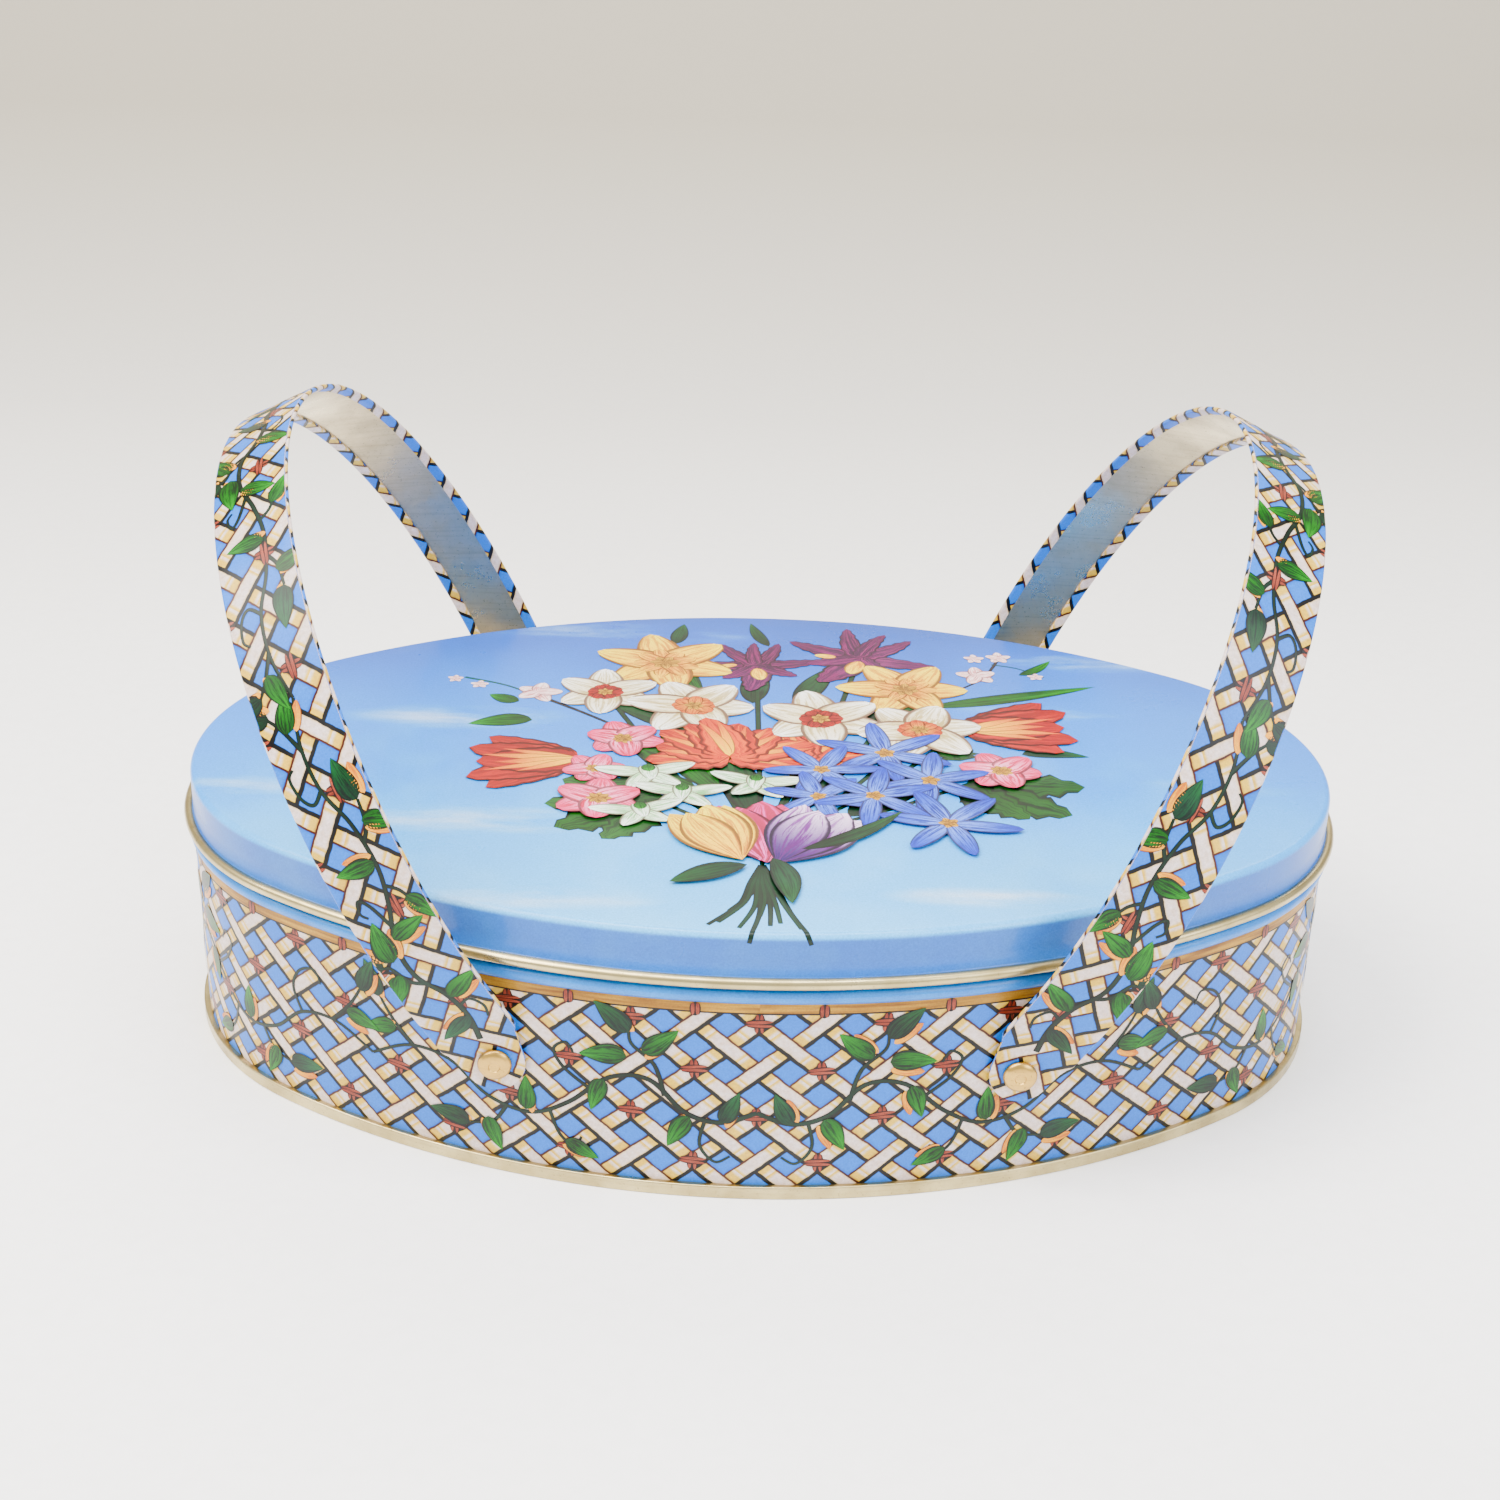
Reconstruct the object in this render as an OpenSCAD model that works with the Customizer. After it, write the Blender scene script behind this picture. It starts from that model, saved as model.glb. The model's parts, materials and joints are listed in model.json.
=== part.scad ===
// Oval metal lunch tin with a slip-over lid and two riveted strap handles.
// Origin: centre of the base, on the surface the tin stands on. X runs along
// the long axis, Y across, Z up. Millimetres.

/* [Outline] */
// Half length of the lid skirt's oval outline
half_length = 125; // [110:1:140]
// Half width of the lid skirt's oval outline
half_width = 79.2; // [74:0.2:84]
// Direction from the X axis where the end arcs meet the side arcs, in degrees
join_angle = 55; // [52:1:58]

/* [Tin] */
// Thickness of the tinplate
sheet = 0.4; // [0.3:0.05:0.5]
// Height of the closed tin, without its handles
tin_height = 60.7; // [58:0.1:70]
// Height of the lid from the underside of its curl to its top
lid_height = 11.7; // [10.5:0.1:13]
// Radius of the lid's pressed corner
lid_corner = 1.5; // [1:0.1:2]
// Radius of the lid's outward curl
curl_radius = 1.2; // [1:0.1:1.4]
// Radius of the bead below the lid
bead_radius = 1.45; // [1.2:0.05:1.6]
// Height of the double seam around the base
seam_height = 2.9; // [2.5:0.1:3.5]
// Free gap between the neck and the lid skirt
neck_gap = 0.3; // [0.2:0.05:0.5]

/* [Handles] */
// Distance of each rivet from the middle of the tin, along X
rivet_x = 52; // [48:0.5:56]
// Height of the rivets above the base
rivet_z = 27; // [25:0.5:30]
// Width of the strap
strap_width = 16.5; // [15:0.5:18]
// Width of the hem folded under each long edge of the strap
hem_width = 2.4; // [2:0.1:3]
// Outward slope of each leg, in degrees
leg_slope = 15; // [14:0.5:16]
// Height above the rivet where the straight leg meets the round arch
leg_height = 18; // [17:0.1:19]
// Lean of each handle outwards from upright, in degrees
lean = 26; // [0:1:60]

/* [Rivets] */
// Radius of the rivet shank
shank_radius = 1.5; // [1.3:0.1:1.8]
// Radius of the rivet's domed head
head_radius = 3.4; // [3:0.1:3.8]
// Height of the rivet's domed head
head_height = 1.5; // [1.2:0.1:2]
// Radius of the rounded tab at each strap end
tab_radius = 6.2; // [5.8:0.1:6.6]

/* [Hidden] */

// Four-centre oval: side arcs centred on the Y axis, end arcs on the X axis.
radius_step = (half_length - half_width) / (cos(join_angle) + sin(join_angle) - 1);
end_shift = radius_step * cos(join_angle);
side_shift = radius_step * sin(join_angle);
end_radius = half_length - end_shift;
side_radius = half_width + side_shift;
join_x = end_shift + end_radius * cos(join_angle);
join_y = end_radius * sin(join_angle);
trim_angle = 1;
side_facets = 180;
end_facets = 96;
small_facets = 12;
round_facets = 48;
cut = 5;

// Offsets from the lid skirt's outline, positive outwards.
wall_out = 0.2;
wall_in = wall_out - sheet;
neck_out = -sheet - neck_gap;
neck_in = neck_out - sheet;

// Heights of the tin's features.
lid_bottom = tin_height - lid_height;
curl_z = lid_bottom + curl_radius;
lid_gap = 0.1;
rim_top = tin_height - sheet - lid_gap;
rim_radius = 0.9;
rim_z = rim_top - rim_radius;
bead_x = -0.35;
bead_gap = 0.75;
bead_z = lid_bottom - bead_gap - bead_radius;
curl_slit = 0.2;
strip = 8;
strip_overlap = 5;
panel_step = 5;
panel_raise = 0.15;

// Double seam: the base's rim wraps round the wall's hooked foot.
seam_reach = 1.3;
seam_out = wall_out + seam_reach;
seam_gap = 0.05;
chuck_out = wall_in - seam_gap;
chuck_in = chuck_out - sheet;
hook_out = seam_out - sheet - 2 * seam_gap;
foot_z = sheet + seam_gap;
hook_top = seam_height - sheet - 3 * seam_gap;
panel_lift = 0.1;
panel_top = seam_height + panel_lift;

// Handle ends stand on flat round pads pressed out of the wall.
wall_y = sqrt(pow(side_radius + wall_out, 2) - rivet_x * rivet_x) - side_shift;
tab_stand = 2.75;
tab_in = wall_y + tab_stand;
tab_out = tab_in + sheet;
pad_radius = 5;
pad_gap = 0.1;
pad_depth = 2.2;
pad_top = tab_in - pad_gap;
pad_root = wall_y - pad_depth;
tab_kink = 3.5;
hole_gap = 0.05;
hole_radius = shank_radius + hole_gap;
hem_gap = 0.2;
hem_thickness = 2 * sheet + hem_gap;
fold_radius = hem_thickness / 2;
flat_half = strap_width / 2 - fold_radius;
plain_inset = 0.3;
plain_half = flat_half - plain_inset;
full_width_from = 5.5;
hem_from = 7;

// Arch of the handle, seen along X: a straight leg, then a half round arch.
leg_run = (leg_height - tab_kink) / cos(leg_slope);
hem_run = (leg_height - hem_from) / cos(leg_slope);
leg_top_y = tab_out + leg_run * sin(leg_slope);
arch_radius = leg_top_y / cos(leg_slope);
arch_facets = 144;

// Rivet: head on the strap, shank, and a tail rolled over a washer.
head_gap = 0.05;
head_from = tab_out + head_gap;
head_skirt = 0.35;
washer_radius = 3.6;
washer_thickness = 0.6;
washer_top = pad_top - sheet;
tail_top = washer_top - washer_thickness;
tail_radius = 2.5;
tail_height = 0.9;
dimple_radius = 1.1;
dimple_depth = 0.3;
tail_bore = 0.9;
tail_bore_depth = 3;

// Sweeps the 2D section, drawn with x as the offset and y as the height,
// once round the oval. Both arcs of a quarter start from the section where
// they meet, and the quarter is trimmed on the planes that mirror it.
module sweep_oval() {
    for (across = [0, 1], along = [0, 1])
        mirror([across, 0, 0])
            mirror([0, along, 0])
                intersection() {
                    translate([0, 0, -cut])
                        cube([half_length + cut, half_length + cut, tin_height + 2 * cut]);
                    translate([join_x, join_y, 0])
                        rotate([0, 0, join_angle]) {
                            translate([-end_radius, 0, 0])
                                rotate_extrude(start = -join_angle - trim_angle,
                                               angle = join_angle + trim_angle, $fn = end_facets)
                                    translate([end_radius, 0])
                                        children();
                            translate([-side_radius, 0, 0])
                                rotate_extrude(angle = 90 - join_angle + trim_angle, $fn = side_facets)
                                    translate([side_radius, 0])
                                        children();
                        }
                }
}

// Points of a quarter of the oval at the given offset, from +X round to +Y.
function quarter_points(offset_out) = concat(
    [for (angle = [0:panel_step:join_angle])
        [end_shift + (end_radius + offset_out) * cos(angle), (end_radius + offset_out) * sin(angle)]],
    [for (angle = [join_angle + panel_step:panel_step:90])
        [(side_radius + offset_out) * cos(angle), (side_radius + offset_out) * sin(angle) - side_shift]]
);

// Flat middle of a panel, whose edge lies inside the swept strip round it.
module panel_middle(offset_out) {
    quarter = quarter_points(offset_out);
    last = len(quarter) - 1;
    polygon(concat(
        quarter,
        [for (i = [last - 1:-1:0]) [-quarter[i][0], quarter[i][1]]],
        [for (i = [1:last]) [-quarter[i][0], -quarter[i][1]]],
        [for (i = [last - 1:-1:1]) [quarter[i][0], -quarter[i][1]]]
    ));
}

module box_2d(x_from, x_to, y_from, y_to) {
    translate([x_from, y_from])
        square([x_to - x_from, y_to - y_from]);
}

module ring_2d(outer, inner) {
    difference() {
        circle(r = outer, $fn = small_facets);
        circle(r = inner, $fn = small_facets);
    }
}

// Wall section: hooked foot, plain wall, bead, neck and inward curl.
module wall_section() {
    box_2d(wall_in, wall_out, foot_z, bead_z - bead_radius + sheet);
    box_2d(wall_out, hook_out, foot_z, foot_z + sheet);
    box_2d(hook_out - sheet, hook_out, foot_z, hook_top);
    translate([bead_x, bead_z])
        intersection() {
            ring_2d(bead_radius, bead_radius - sheet);
            box_2d(0, 2 * bead_radius, -2 * bead_radius, 2 * bead_radius);
        }
    box_2d(neck_in, bead_x, bead_z + bead_radius - sheet, bead_z + bead_radius);
    box_2d(neck_in, neck_out, bead_z + bead_radius - sheet, rim_z);
    translate([neck_out - rim_radius, rim_z]) {
        intersection() {
            ring_2d(rim_radius, rim_radius - sheet);
            box_2d(-2 * rim_radius, 2 * rim_radius, 0, 2 * rim_radius);
        }
        intersection() {
            ring_2d(rim_radius, rim_radius - sheet);
            box_2d(-2 * rim_radius, 0, -2 * rim_radius, 0);
        }
    }
}

// Seam section: rim wrapped under the wall, hooked over its foot.
module seam_section() {
    box_2d(chuck_in, chuck_out, 0, panel_top);
    box_2d(chuck_out, seam_out - sheet, 0, sheet);
    box_2d(seam_out - sheet, seam_out, 0, seam_height);
    box_2d(wall_out + seam_gap, seam_out - sheet, seam_height - sheet, seam_height);
    box_2d(chuck_in - strip, chuck_in, panel_top - sheet, panel_top);
}

// Lid section: strip of the top, pressed corner, skirt and outward curl.
module lid_section() {
    box_2d(-strip, -lid_corner, tin_height - sheet, tin_height);
    translate([-lid_corner, tin_height - lid_corner])
        intersection() {
            ring_2d(lid_corner, lid_corner - sheet);
            box_2d(0, 2 * lid_corner, 0, 2 * lid_corner);
        }
    box_2d(-sheet, 0, curl_z, tin_height - lid_corner);
    translate([curl_radius - sheet, curl_z])
        difference() {
            ring_2d(curl_radius, curl_radius - sheet);
            box_2d(-2 * curl_radius, 0, 0, 2 * curl_radius);
            box_2d(0, curl_slit, 0, 2 * curl_radius);
        }
}

// Places a piece drawn for the back right rivet at any of the four rivets.
module at_rivet(side, depth) {
    mirror([side < 0 ? 1 : 0, 0, 0])
        mirror([0, depth < 0 ? 1 : 0, 0])
            translate([rivet_x, 0, rivet_z])
                children();
}

// Round bar along Y from y_from to y_to, at the local rivet axis.
module bar_y(radius, y_from, y_to) {
    translate([0, y_to, 0])
        rotate([90, 0, 0])
            cylinder(r = radius, h = y_to - y_from, $fn = round_facets);
}

module body_wall() {
    color("cornflowerblue")
        difference() {
            union() {
                sweep_oval() wall_section();
                for (side = [-1, 1], depth = [-1, 1])
                    at_rivet(side, depth) bar_y(pad_radius, pad_root, pad_top);
            }
            for (side = [-1, 1], depth = [-1, 1])
                at_rivet(side, depth) {
                    bar_y(pad_radius - sheet, pad_root - cut, pad_top - sheet);
                    bar_y(shank_radius, pad_root, pad_top + cut);
                }
        }
}

module base_panel() {
    color("tan") {
        sweep_oval() seam_section();
        translate([0, 0, panel_top - sheet + panel_raise])
            linear_extrude(sheet)
                panel_middle(chuck_in - strip_overlap);
    }
}

module lid() {
    color("steelblue") {
        sweep_oval() lid_section();
        translate([0, 0, tin_height - sheet])
            linear_extrude(sheet)
                panel_middle(-strip_overlap);
    }
}

// Strap section, outer face at the given x, width along y.
module strap_section(outer) {
    box_2d(outer - sheet, outer, -flat_half, flat_half);
    for (edge = [0, 1])
        mirror([0, edge]) {
            translate([outer - fold_radius, flat_half])
                intersection() {
                    ring_2d(fold_radius, hem_gap / 2);
                    box_2d(-2 * fold_radius, 2 * fold_radius, 0, 2 * fold_radius);
                }
            box_2d(outer - hem_thickness, outer - hem_thickness + sheet,
                   strap_width / 2 - hem_width, flat_half);
        }
}

// Places a piece in the frame where leg and arch meet: X outwards, square
// to the outer face, Y up along the leg, Z across the strap.
module at_leg_top() {
    rotate([90, 0, 90])
        translate([leg_top_y, leg_height, 0])
            rotate([0, 0, -leg_slope])
                children();
}

// Hemmed straight part of one leg, and its half of the arch.
module leg_and_arch() {
    at_leg_top() {
        rotate([90, 0, 0])
            linear_extrude(hem_run)
                strap_section(0);
        translate([-arch_radius, 0, 0])
            rotate_extrude(angle = 90 + leg_slope + trim_angle, $fn = arch_facets)
                translate([arch_radius, 0])
                    strap_section(0);
    }
}

// Side view of the plain end: the flat tab, the kink and the foot of the leg.
module leg_end_profile() {
    kink_in = -leg_run - sheet * tan(leg_slope / 2);
    tab_run = tab_kink + tab_radius + cut;
    tab_foot = [tab_run * sin(leg_slope), -leg_run - tab_run * cos(leg_slope)];
    polygon([
        [0, -hem_run],
        [-sheet, -hem_run],
        [-sheet, kink_in],
        tab_foot - sheet * [cos(leg_slope), sin(leg_slope)],
        tab_foot,
        [0, -leg_run],
    ]);
}

// Front view of the plain end: a round tab that widens into the strap.
module leg_end_outline() {
    circle(r = tab_radius, $fn = round_facets);
    polygon([
        [-tab_radius, 0],
        [tab_radius, 0],
        [plain_half, full_width_from],
        [plain_half, leg_height],
        [-plain_half, leg_height],
        [-plain_half, full_width_from],
    ]);
}

module leg_end() {
    intersection() {
        at_leg_top()
            translate([0, 0, -strap_width])
                linear_extrude(2 * strap_width)
                    leg_end_profile();
        translate([0, 2 * tab_out, 0])
            rotate([90, 0, 0])
                linear_extrude(2 * tab_out)
                    leg_end_outline();
    }
}

// Handle upright over its rivets, with the rivet axis at the origin.
module handle_upright() {
    for (depth = [0, 1])
        mirror([0, depth, 0])
            difference() {
                intersection() {
                    union() {
                        leg_end();
                        leg_and_arch();
                    }
                    translate([-strap_width, 0, -2 * tab_radius])
                        cube([2 * strap_width, 2 * arch_radius, 3 * arch_radius]);
                }
                bar_y(hole_radius, tab_in - cut, tab_out + cut);
            }
}

module handle(side) {
    color("cornflowerblue")
        mirror([side < 0 ? 1 : 0, 0, 0])
            translate([rivet_x, 0, rivet_z])
                rotate([0, lean, 0])
                    handle_upright();
}

// Rivet drawn along +Y by turning its half section round the axis.
module rivet(side, depth) {
    color("goldenrod")
        at_rivet(side, depth)
            rotate([-90, 0, 0])
                rotate_extrude($fn = round_facets)
                    rivet_section();
}

module rivet_section() {
    dome_radius = (head_radius * head_radius + pow(head_height - head_skirt, 2))
                  / (2 * (head_height - head_skirt));
    difference() {
        union() {
            box_2d(0, head_radius, head_from, head_from + head_skirt);
            intersection() {
                translate([0, head_from + head_height - dome_radius])
                    circle(r = dome_radius, $fn = 4 * round_facets);
                box_2d(0, head_radius, head_from + head_skirt, head_from + head_height);
            }
        }
        box_2d(0, dimple_radius, head_from + head_height - dimple_depth, head_from + 2 * head_height);
    }
    difference() {
        union() {
            box_2d(0, shank_radius, tail_top, head_from);
            box_2d(0, tail_radius, tail_top - tail_height, tail_top);
        }
        box_2d(0, tail_bore, tail_top - 2 * tail_height, tail_top - tail_height + tail_bore_depth);
    }
}

module washer(side, depth) {
    color("darkkhaki")
        at_rivet(side, depth)
            difference() {
                bar_y(washer_radius, tail_top, washer_top);
                bar_y(shank_radius, tail_top - cut, washer_top + cut);
            }
}

body_wall();
base_panel();
lid();
handle(-1);  // handle_left
handle(1);  // handle_right
rivet(-1, -1);  // rivet_front_left
rivet(1, -1);  // rivet_front_right
rivet(-1, 1);  // rivet_back_left
rivet(1, 1);  // rivet_back_right
washer(-1, -1);  // washer_front_left
washer(1, -1);  // washer_front_right
washer(-1, 1);  // washer_back_left
washer(1, 1);  // washer_back_right
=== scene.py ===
"""Looks of an oval tinplate lunch box with a slip-over lid and two strap handles."""
import json
import logging
import math
from dataclasses import dataclass, field
from enum import Enum
from typing import Protocol, Sequence

import bmesh
import bpy
from mathutils import Matrix, Vector


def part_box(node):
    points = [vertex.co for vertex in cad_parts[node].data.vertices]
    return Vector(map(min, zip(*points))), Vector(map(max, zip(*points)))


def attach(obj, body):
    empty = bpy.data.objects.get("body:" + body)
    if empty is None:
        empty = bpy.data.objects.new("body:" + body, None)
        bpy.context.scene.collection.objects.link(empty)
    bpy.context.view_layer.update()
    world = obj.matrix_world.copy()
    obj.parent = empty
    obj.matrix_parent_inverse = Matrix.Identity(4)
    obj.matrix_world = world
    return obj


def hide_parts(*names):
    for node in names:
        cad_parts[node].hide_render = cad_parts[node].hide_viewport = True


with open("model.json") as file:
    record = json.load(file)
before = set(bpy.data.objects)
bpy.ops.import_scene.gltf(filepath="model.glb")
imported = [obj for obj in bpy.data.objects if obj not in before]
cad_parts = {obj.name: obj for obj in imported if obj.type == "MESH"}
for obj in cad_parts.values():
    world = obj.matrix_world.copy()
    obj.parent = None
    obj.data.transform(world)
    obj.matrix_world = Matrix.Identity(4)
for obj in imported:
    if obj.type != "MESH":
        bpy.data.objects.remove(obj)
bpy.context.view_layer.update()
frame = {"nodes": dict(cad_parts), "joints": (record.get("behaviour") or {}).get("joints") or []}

MM = 0.001
INK_LIFT = 0.02 * MM
# Stems: share of their roundness that stays, how far their outline spreads, share of the ink's lift.
FILM, FILM_SPREAD, FILM_LIFT = 0.03, 1.25, 0.6
log = logging.getLogger("lunch_box")

Pair = tuple[float, float]
Colour = tuple[float, float, float, float]
Triple = tuple[float, float, float]
Socket = bpy.types.NodeSocket
Piece = bpy.types.Object
Material = bpy.types.Material
Node = bpy.types.Node
NodeTree = bpy.types.NodeTree


def srgb(code: str) -> Colour:
    """Turns a six-digit colour code into a linear colour.

    Args:
        code: Red, green and blue as six hexadecimal digits.

    Returns:
        The colour in linear light, with full opacity.
    """
    parts = [int(code[i:i + 2], 16) / 255 for i in (0, 2, 4)]
    linear = [p / 12.92 if p <= 0.04045 else ((p + 0.055) / 1.055) ** 2.4 for p in parts]
    return (linear[0], linear[1], linear[2], 1.0)


def blend(a: float, b: float, amount: float) -> float:
    """Mixes two numbers: a at amount 0, b at amount 1."""
    return a + (b - a) * amount


# ---- node helpers


class NodeSheet:
    """Adds nodes to one tree and joins their sockets."""

    def __init__(self, tree: NodeTree) -> None:
        """Keeps the tree that the nodes go into."""
        self.tree = tree

    def node(self, kind: str, **settings: object) -> Node:
        """Adds a node.

        Args:
            kind: The node's type name.
            settings: Properties to set on it.

        Returns:
            The new node.
        """
        made = self.tree.nodes.new(kind)
        for key, value in settings.items():
            setattr(made, key, value)
        return made

    def feed(self, socket: Socket, value: object) -> None:
        """Joins a socket to another, or sets its plain value.

        Args:
            socket: The input.
            value: A socket or a plain value.
        """
        if isinstance(value, Socket):
            self.tree.links.new(value, socket)
        else:
            socket.default_value = value

    def math(self, operation: str, *values: object, clamp: bool = False) -> Socket:
        """Adds a Math node.

        Args:
            operation: The node's operation.
            values: Numbers or sockets for its inputs, in order.
            clamp: Whether the result is kept between 0 and 1.

        Returns:
            The result's socket.
        """
        made = self.node("ShaderNodeMath", operation=operation, use_clamp=clamp)
        for index, value in enumerate(values):
            self.feed(made.inputs[index], value)
        return made.outputs[0]

    def add(self, *values: object) -> Socket:
        """Adds two values."""
        return self.math("ADD", *values)

    def sub(self, *values: object, clamp: bool = False) -> Socket:
        """Subtracts the second value from the first."""
        return self.math("SUBTRACT", *values, clamp=clamp)

    def mul(self, *values: object, clamp: bool = False) -> Socket:
        """Multiplies two values."""
        return self.math("MULTIPLY", *values, clamp=clamp)

    def div(self, *values: object) -> Socket:
        """Divides the first value by the second."""
        return self.math("DIVIDE", *values)

    def vector(self, operation: str, a: object, b: object) -> Socket:
        """Adds a Vector Math node.

        Args:
            operation: The node's operation.
            a: First vector.
            b: Second vector.

        Returns:
            The vector result's socket.
        """
        made = self.node("ShaderNodeVectorMath", operation=operation)
        self.feed(made.inputs[0], a)
        self.feed(made.inputs[1], b)
        return made.outputs[0]

    def split(self, value: Socket) -> tuple[Socket, Socket, Socket]:
        """Splits a vector socket into its three numbers.

        Args:
            value: The vector.

        Returns:
            The three sockets.
        """
        made = self.node("ShaderNodeSeparateXYZ")
        self.feed(made.inputs[0], value)
        return made.outputs[0], made.outputs[1], made.outputs[2]

    def join(self, x: object, y: object, z: object) -> Socket:
        """Joins three numbers into a vector.

        Args:
            x: First number.
            y: Second.
            z: Third.

        Returns:
            The vector.
        """
        made = self.node("ShaderNodeCombineXYZ")
        for index, value in enumerate((x, y, z)):
            self.feed(made.inputs[index], value)
        return made.outputs[0]

    def mix(self, amount: object, a: object, b: object, blend: str = "MIX") -> Socket:
        """Mixes two colours: a at amount 0, b at amount 1.

        Args:
            amount: Share of b.
            a: First colour.
            b: Second colour.
            blend: Way of mixing.

        Returns:
            The mixed colour.
        """
        made = self.node("ShaderNodeMix", data_type="RGBA", blend_type=blend)
        self.feed(made.inputs[0], amount)
        self.feed(made.inputs[6], a)
        self.feed(made.inputs[7], b)
        return made.outputs[2]

    def below(self, value: object, limit: object, soft: float = 0.012) -> Socket:
        """A mask that is 1 where the value is under the limit, with a soft edge.

        Args:
            value: The value.
            limit: The limit.
            soft: Half the width of the edge.

        Returns:
            The mask.
        """
        made = self.node("ShaderNodeMapRange", interpolation_type="SMOOTHSTEP")
        self.feed(made.inputs["Value"], value)
        self.feed(made.inputs["From Min"], self.sub(limit, soft))
        self.feed(made.inputs["From Max"], self.add(limit, soft))
        made.inputs["To Min"].default_value = 1.0
        made.inputs["To Max"].default_value = 0.0
        return made.outputs[0]

    def above(self, value: object, limit: object, soft: float = 0.012) -> Socket:
        """The opposite mask of below."""
        return self.sub(1.0, self.below(value, limit, soft))

    def remap(self, value: object, low: float, high: float, to_low: float, to_high: float) -> Socket:
        """Maps a range of values to another, clamped.

        Args:
            value: The value.
            low: Start of its range.
            high: End of its range.
            to_low: Result at the start.
            to_high: Result at the end.

        Returns:
            The result.
        """
        made = self.node("ShaderNodeMapRange")
        self.feed(made.inputs["Value"], value)
        for name, number in (("From Min", low), ("From Max", high), ("To Min", to_low), ("To Max", to_high)):
            made.inputs[name].default_value = number
        return made.outputs[0]

    def noise(self, vector: Socket, scale: float, detail: float = 3.0, rough: float = 0.55) -> Socket:
        """Adds a noise texture and returns its value.

        Args:
            vector: Where it is read.
            scale: Its scale.
            detail: Its detail.
            rough: Its roughness.

        Returns:
            The value.
        """
        made = self.node("ShaderNodeTexNoise")
        self.feed(made.inputs["Vector"], vector)
        made.inputs["Scale"].default_value = scale
        made.inputs["Detail"].default_value = detail
        made.inputs["Roughness"].default_value = rough
        return made.outputs["Fac"]

    def stretched(self, vector: Socket, factors: Triple) -> Socket:
        """Scales a vector by three factors."""
        return self.vector("MULTIPLY", vector, factors)

    def group(self, tree: NodeTree, **values: object) -> Node:
        """Places a node group and feeds its inputs, named with _ for spaces.

        Args:
            tree: The group.
            values: Its inputs.

        Returns:
            The new node.
        """
        made = self.node("ShaderNodeGroup", node_tree=tree)
        for key, value in values.items():
            self.feed(made.inputs[key.replace("_", " ")], value)
        return made


def open_group(name: str, inputs: Sequence[tuple[str, str, object]],
               outputs: Sequence[tuple[str, str]]) -> tuple[NodeSheet, Node, Node]:
    """Starts a shader node group.

    Args:
        name: The group's name.
        inputs: Name, socket type and default of each input.
        outputs: Name and socket type of each output.

    Returns:
        The sheet, the group's input node and its output node.
    """
    tree = bpy.data.node_groups.new(name, "ShaderNodeTree")
    for label, kind, default in inputs:
        socket = tree.interface.new_socket(label, in_out="INPUT", socket_type=kind)
        if default is not None:
            socket.default_value = default
    for label, kind in outputs:
        tree.interface.new_socket(label, in_out="OUTPUT", socket_type=kind)
    sheet = NodeSheet(tree)
    return sheet, sheet.node("NodeGroupInput"), sheet.node("NodeGroupOutput")


VECTOR = "NodeSocketVector"
FLOAT = "NodeSocketFloat"
COLOUR = "NodeSocketColor"


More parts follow.
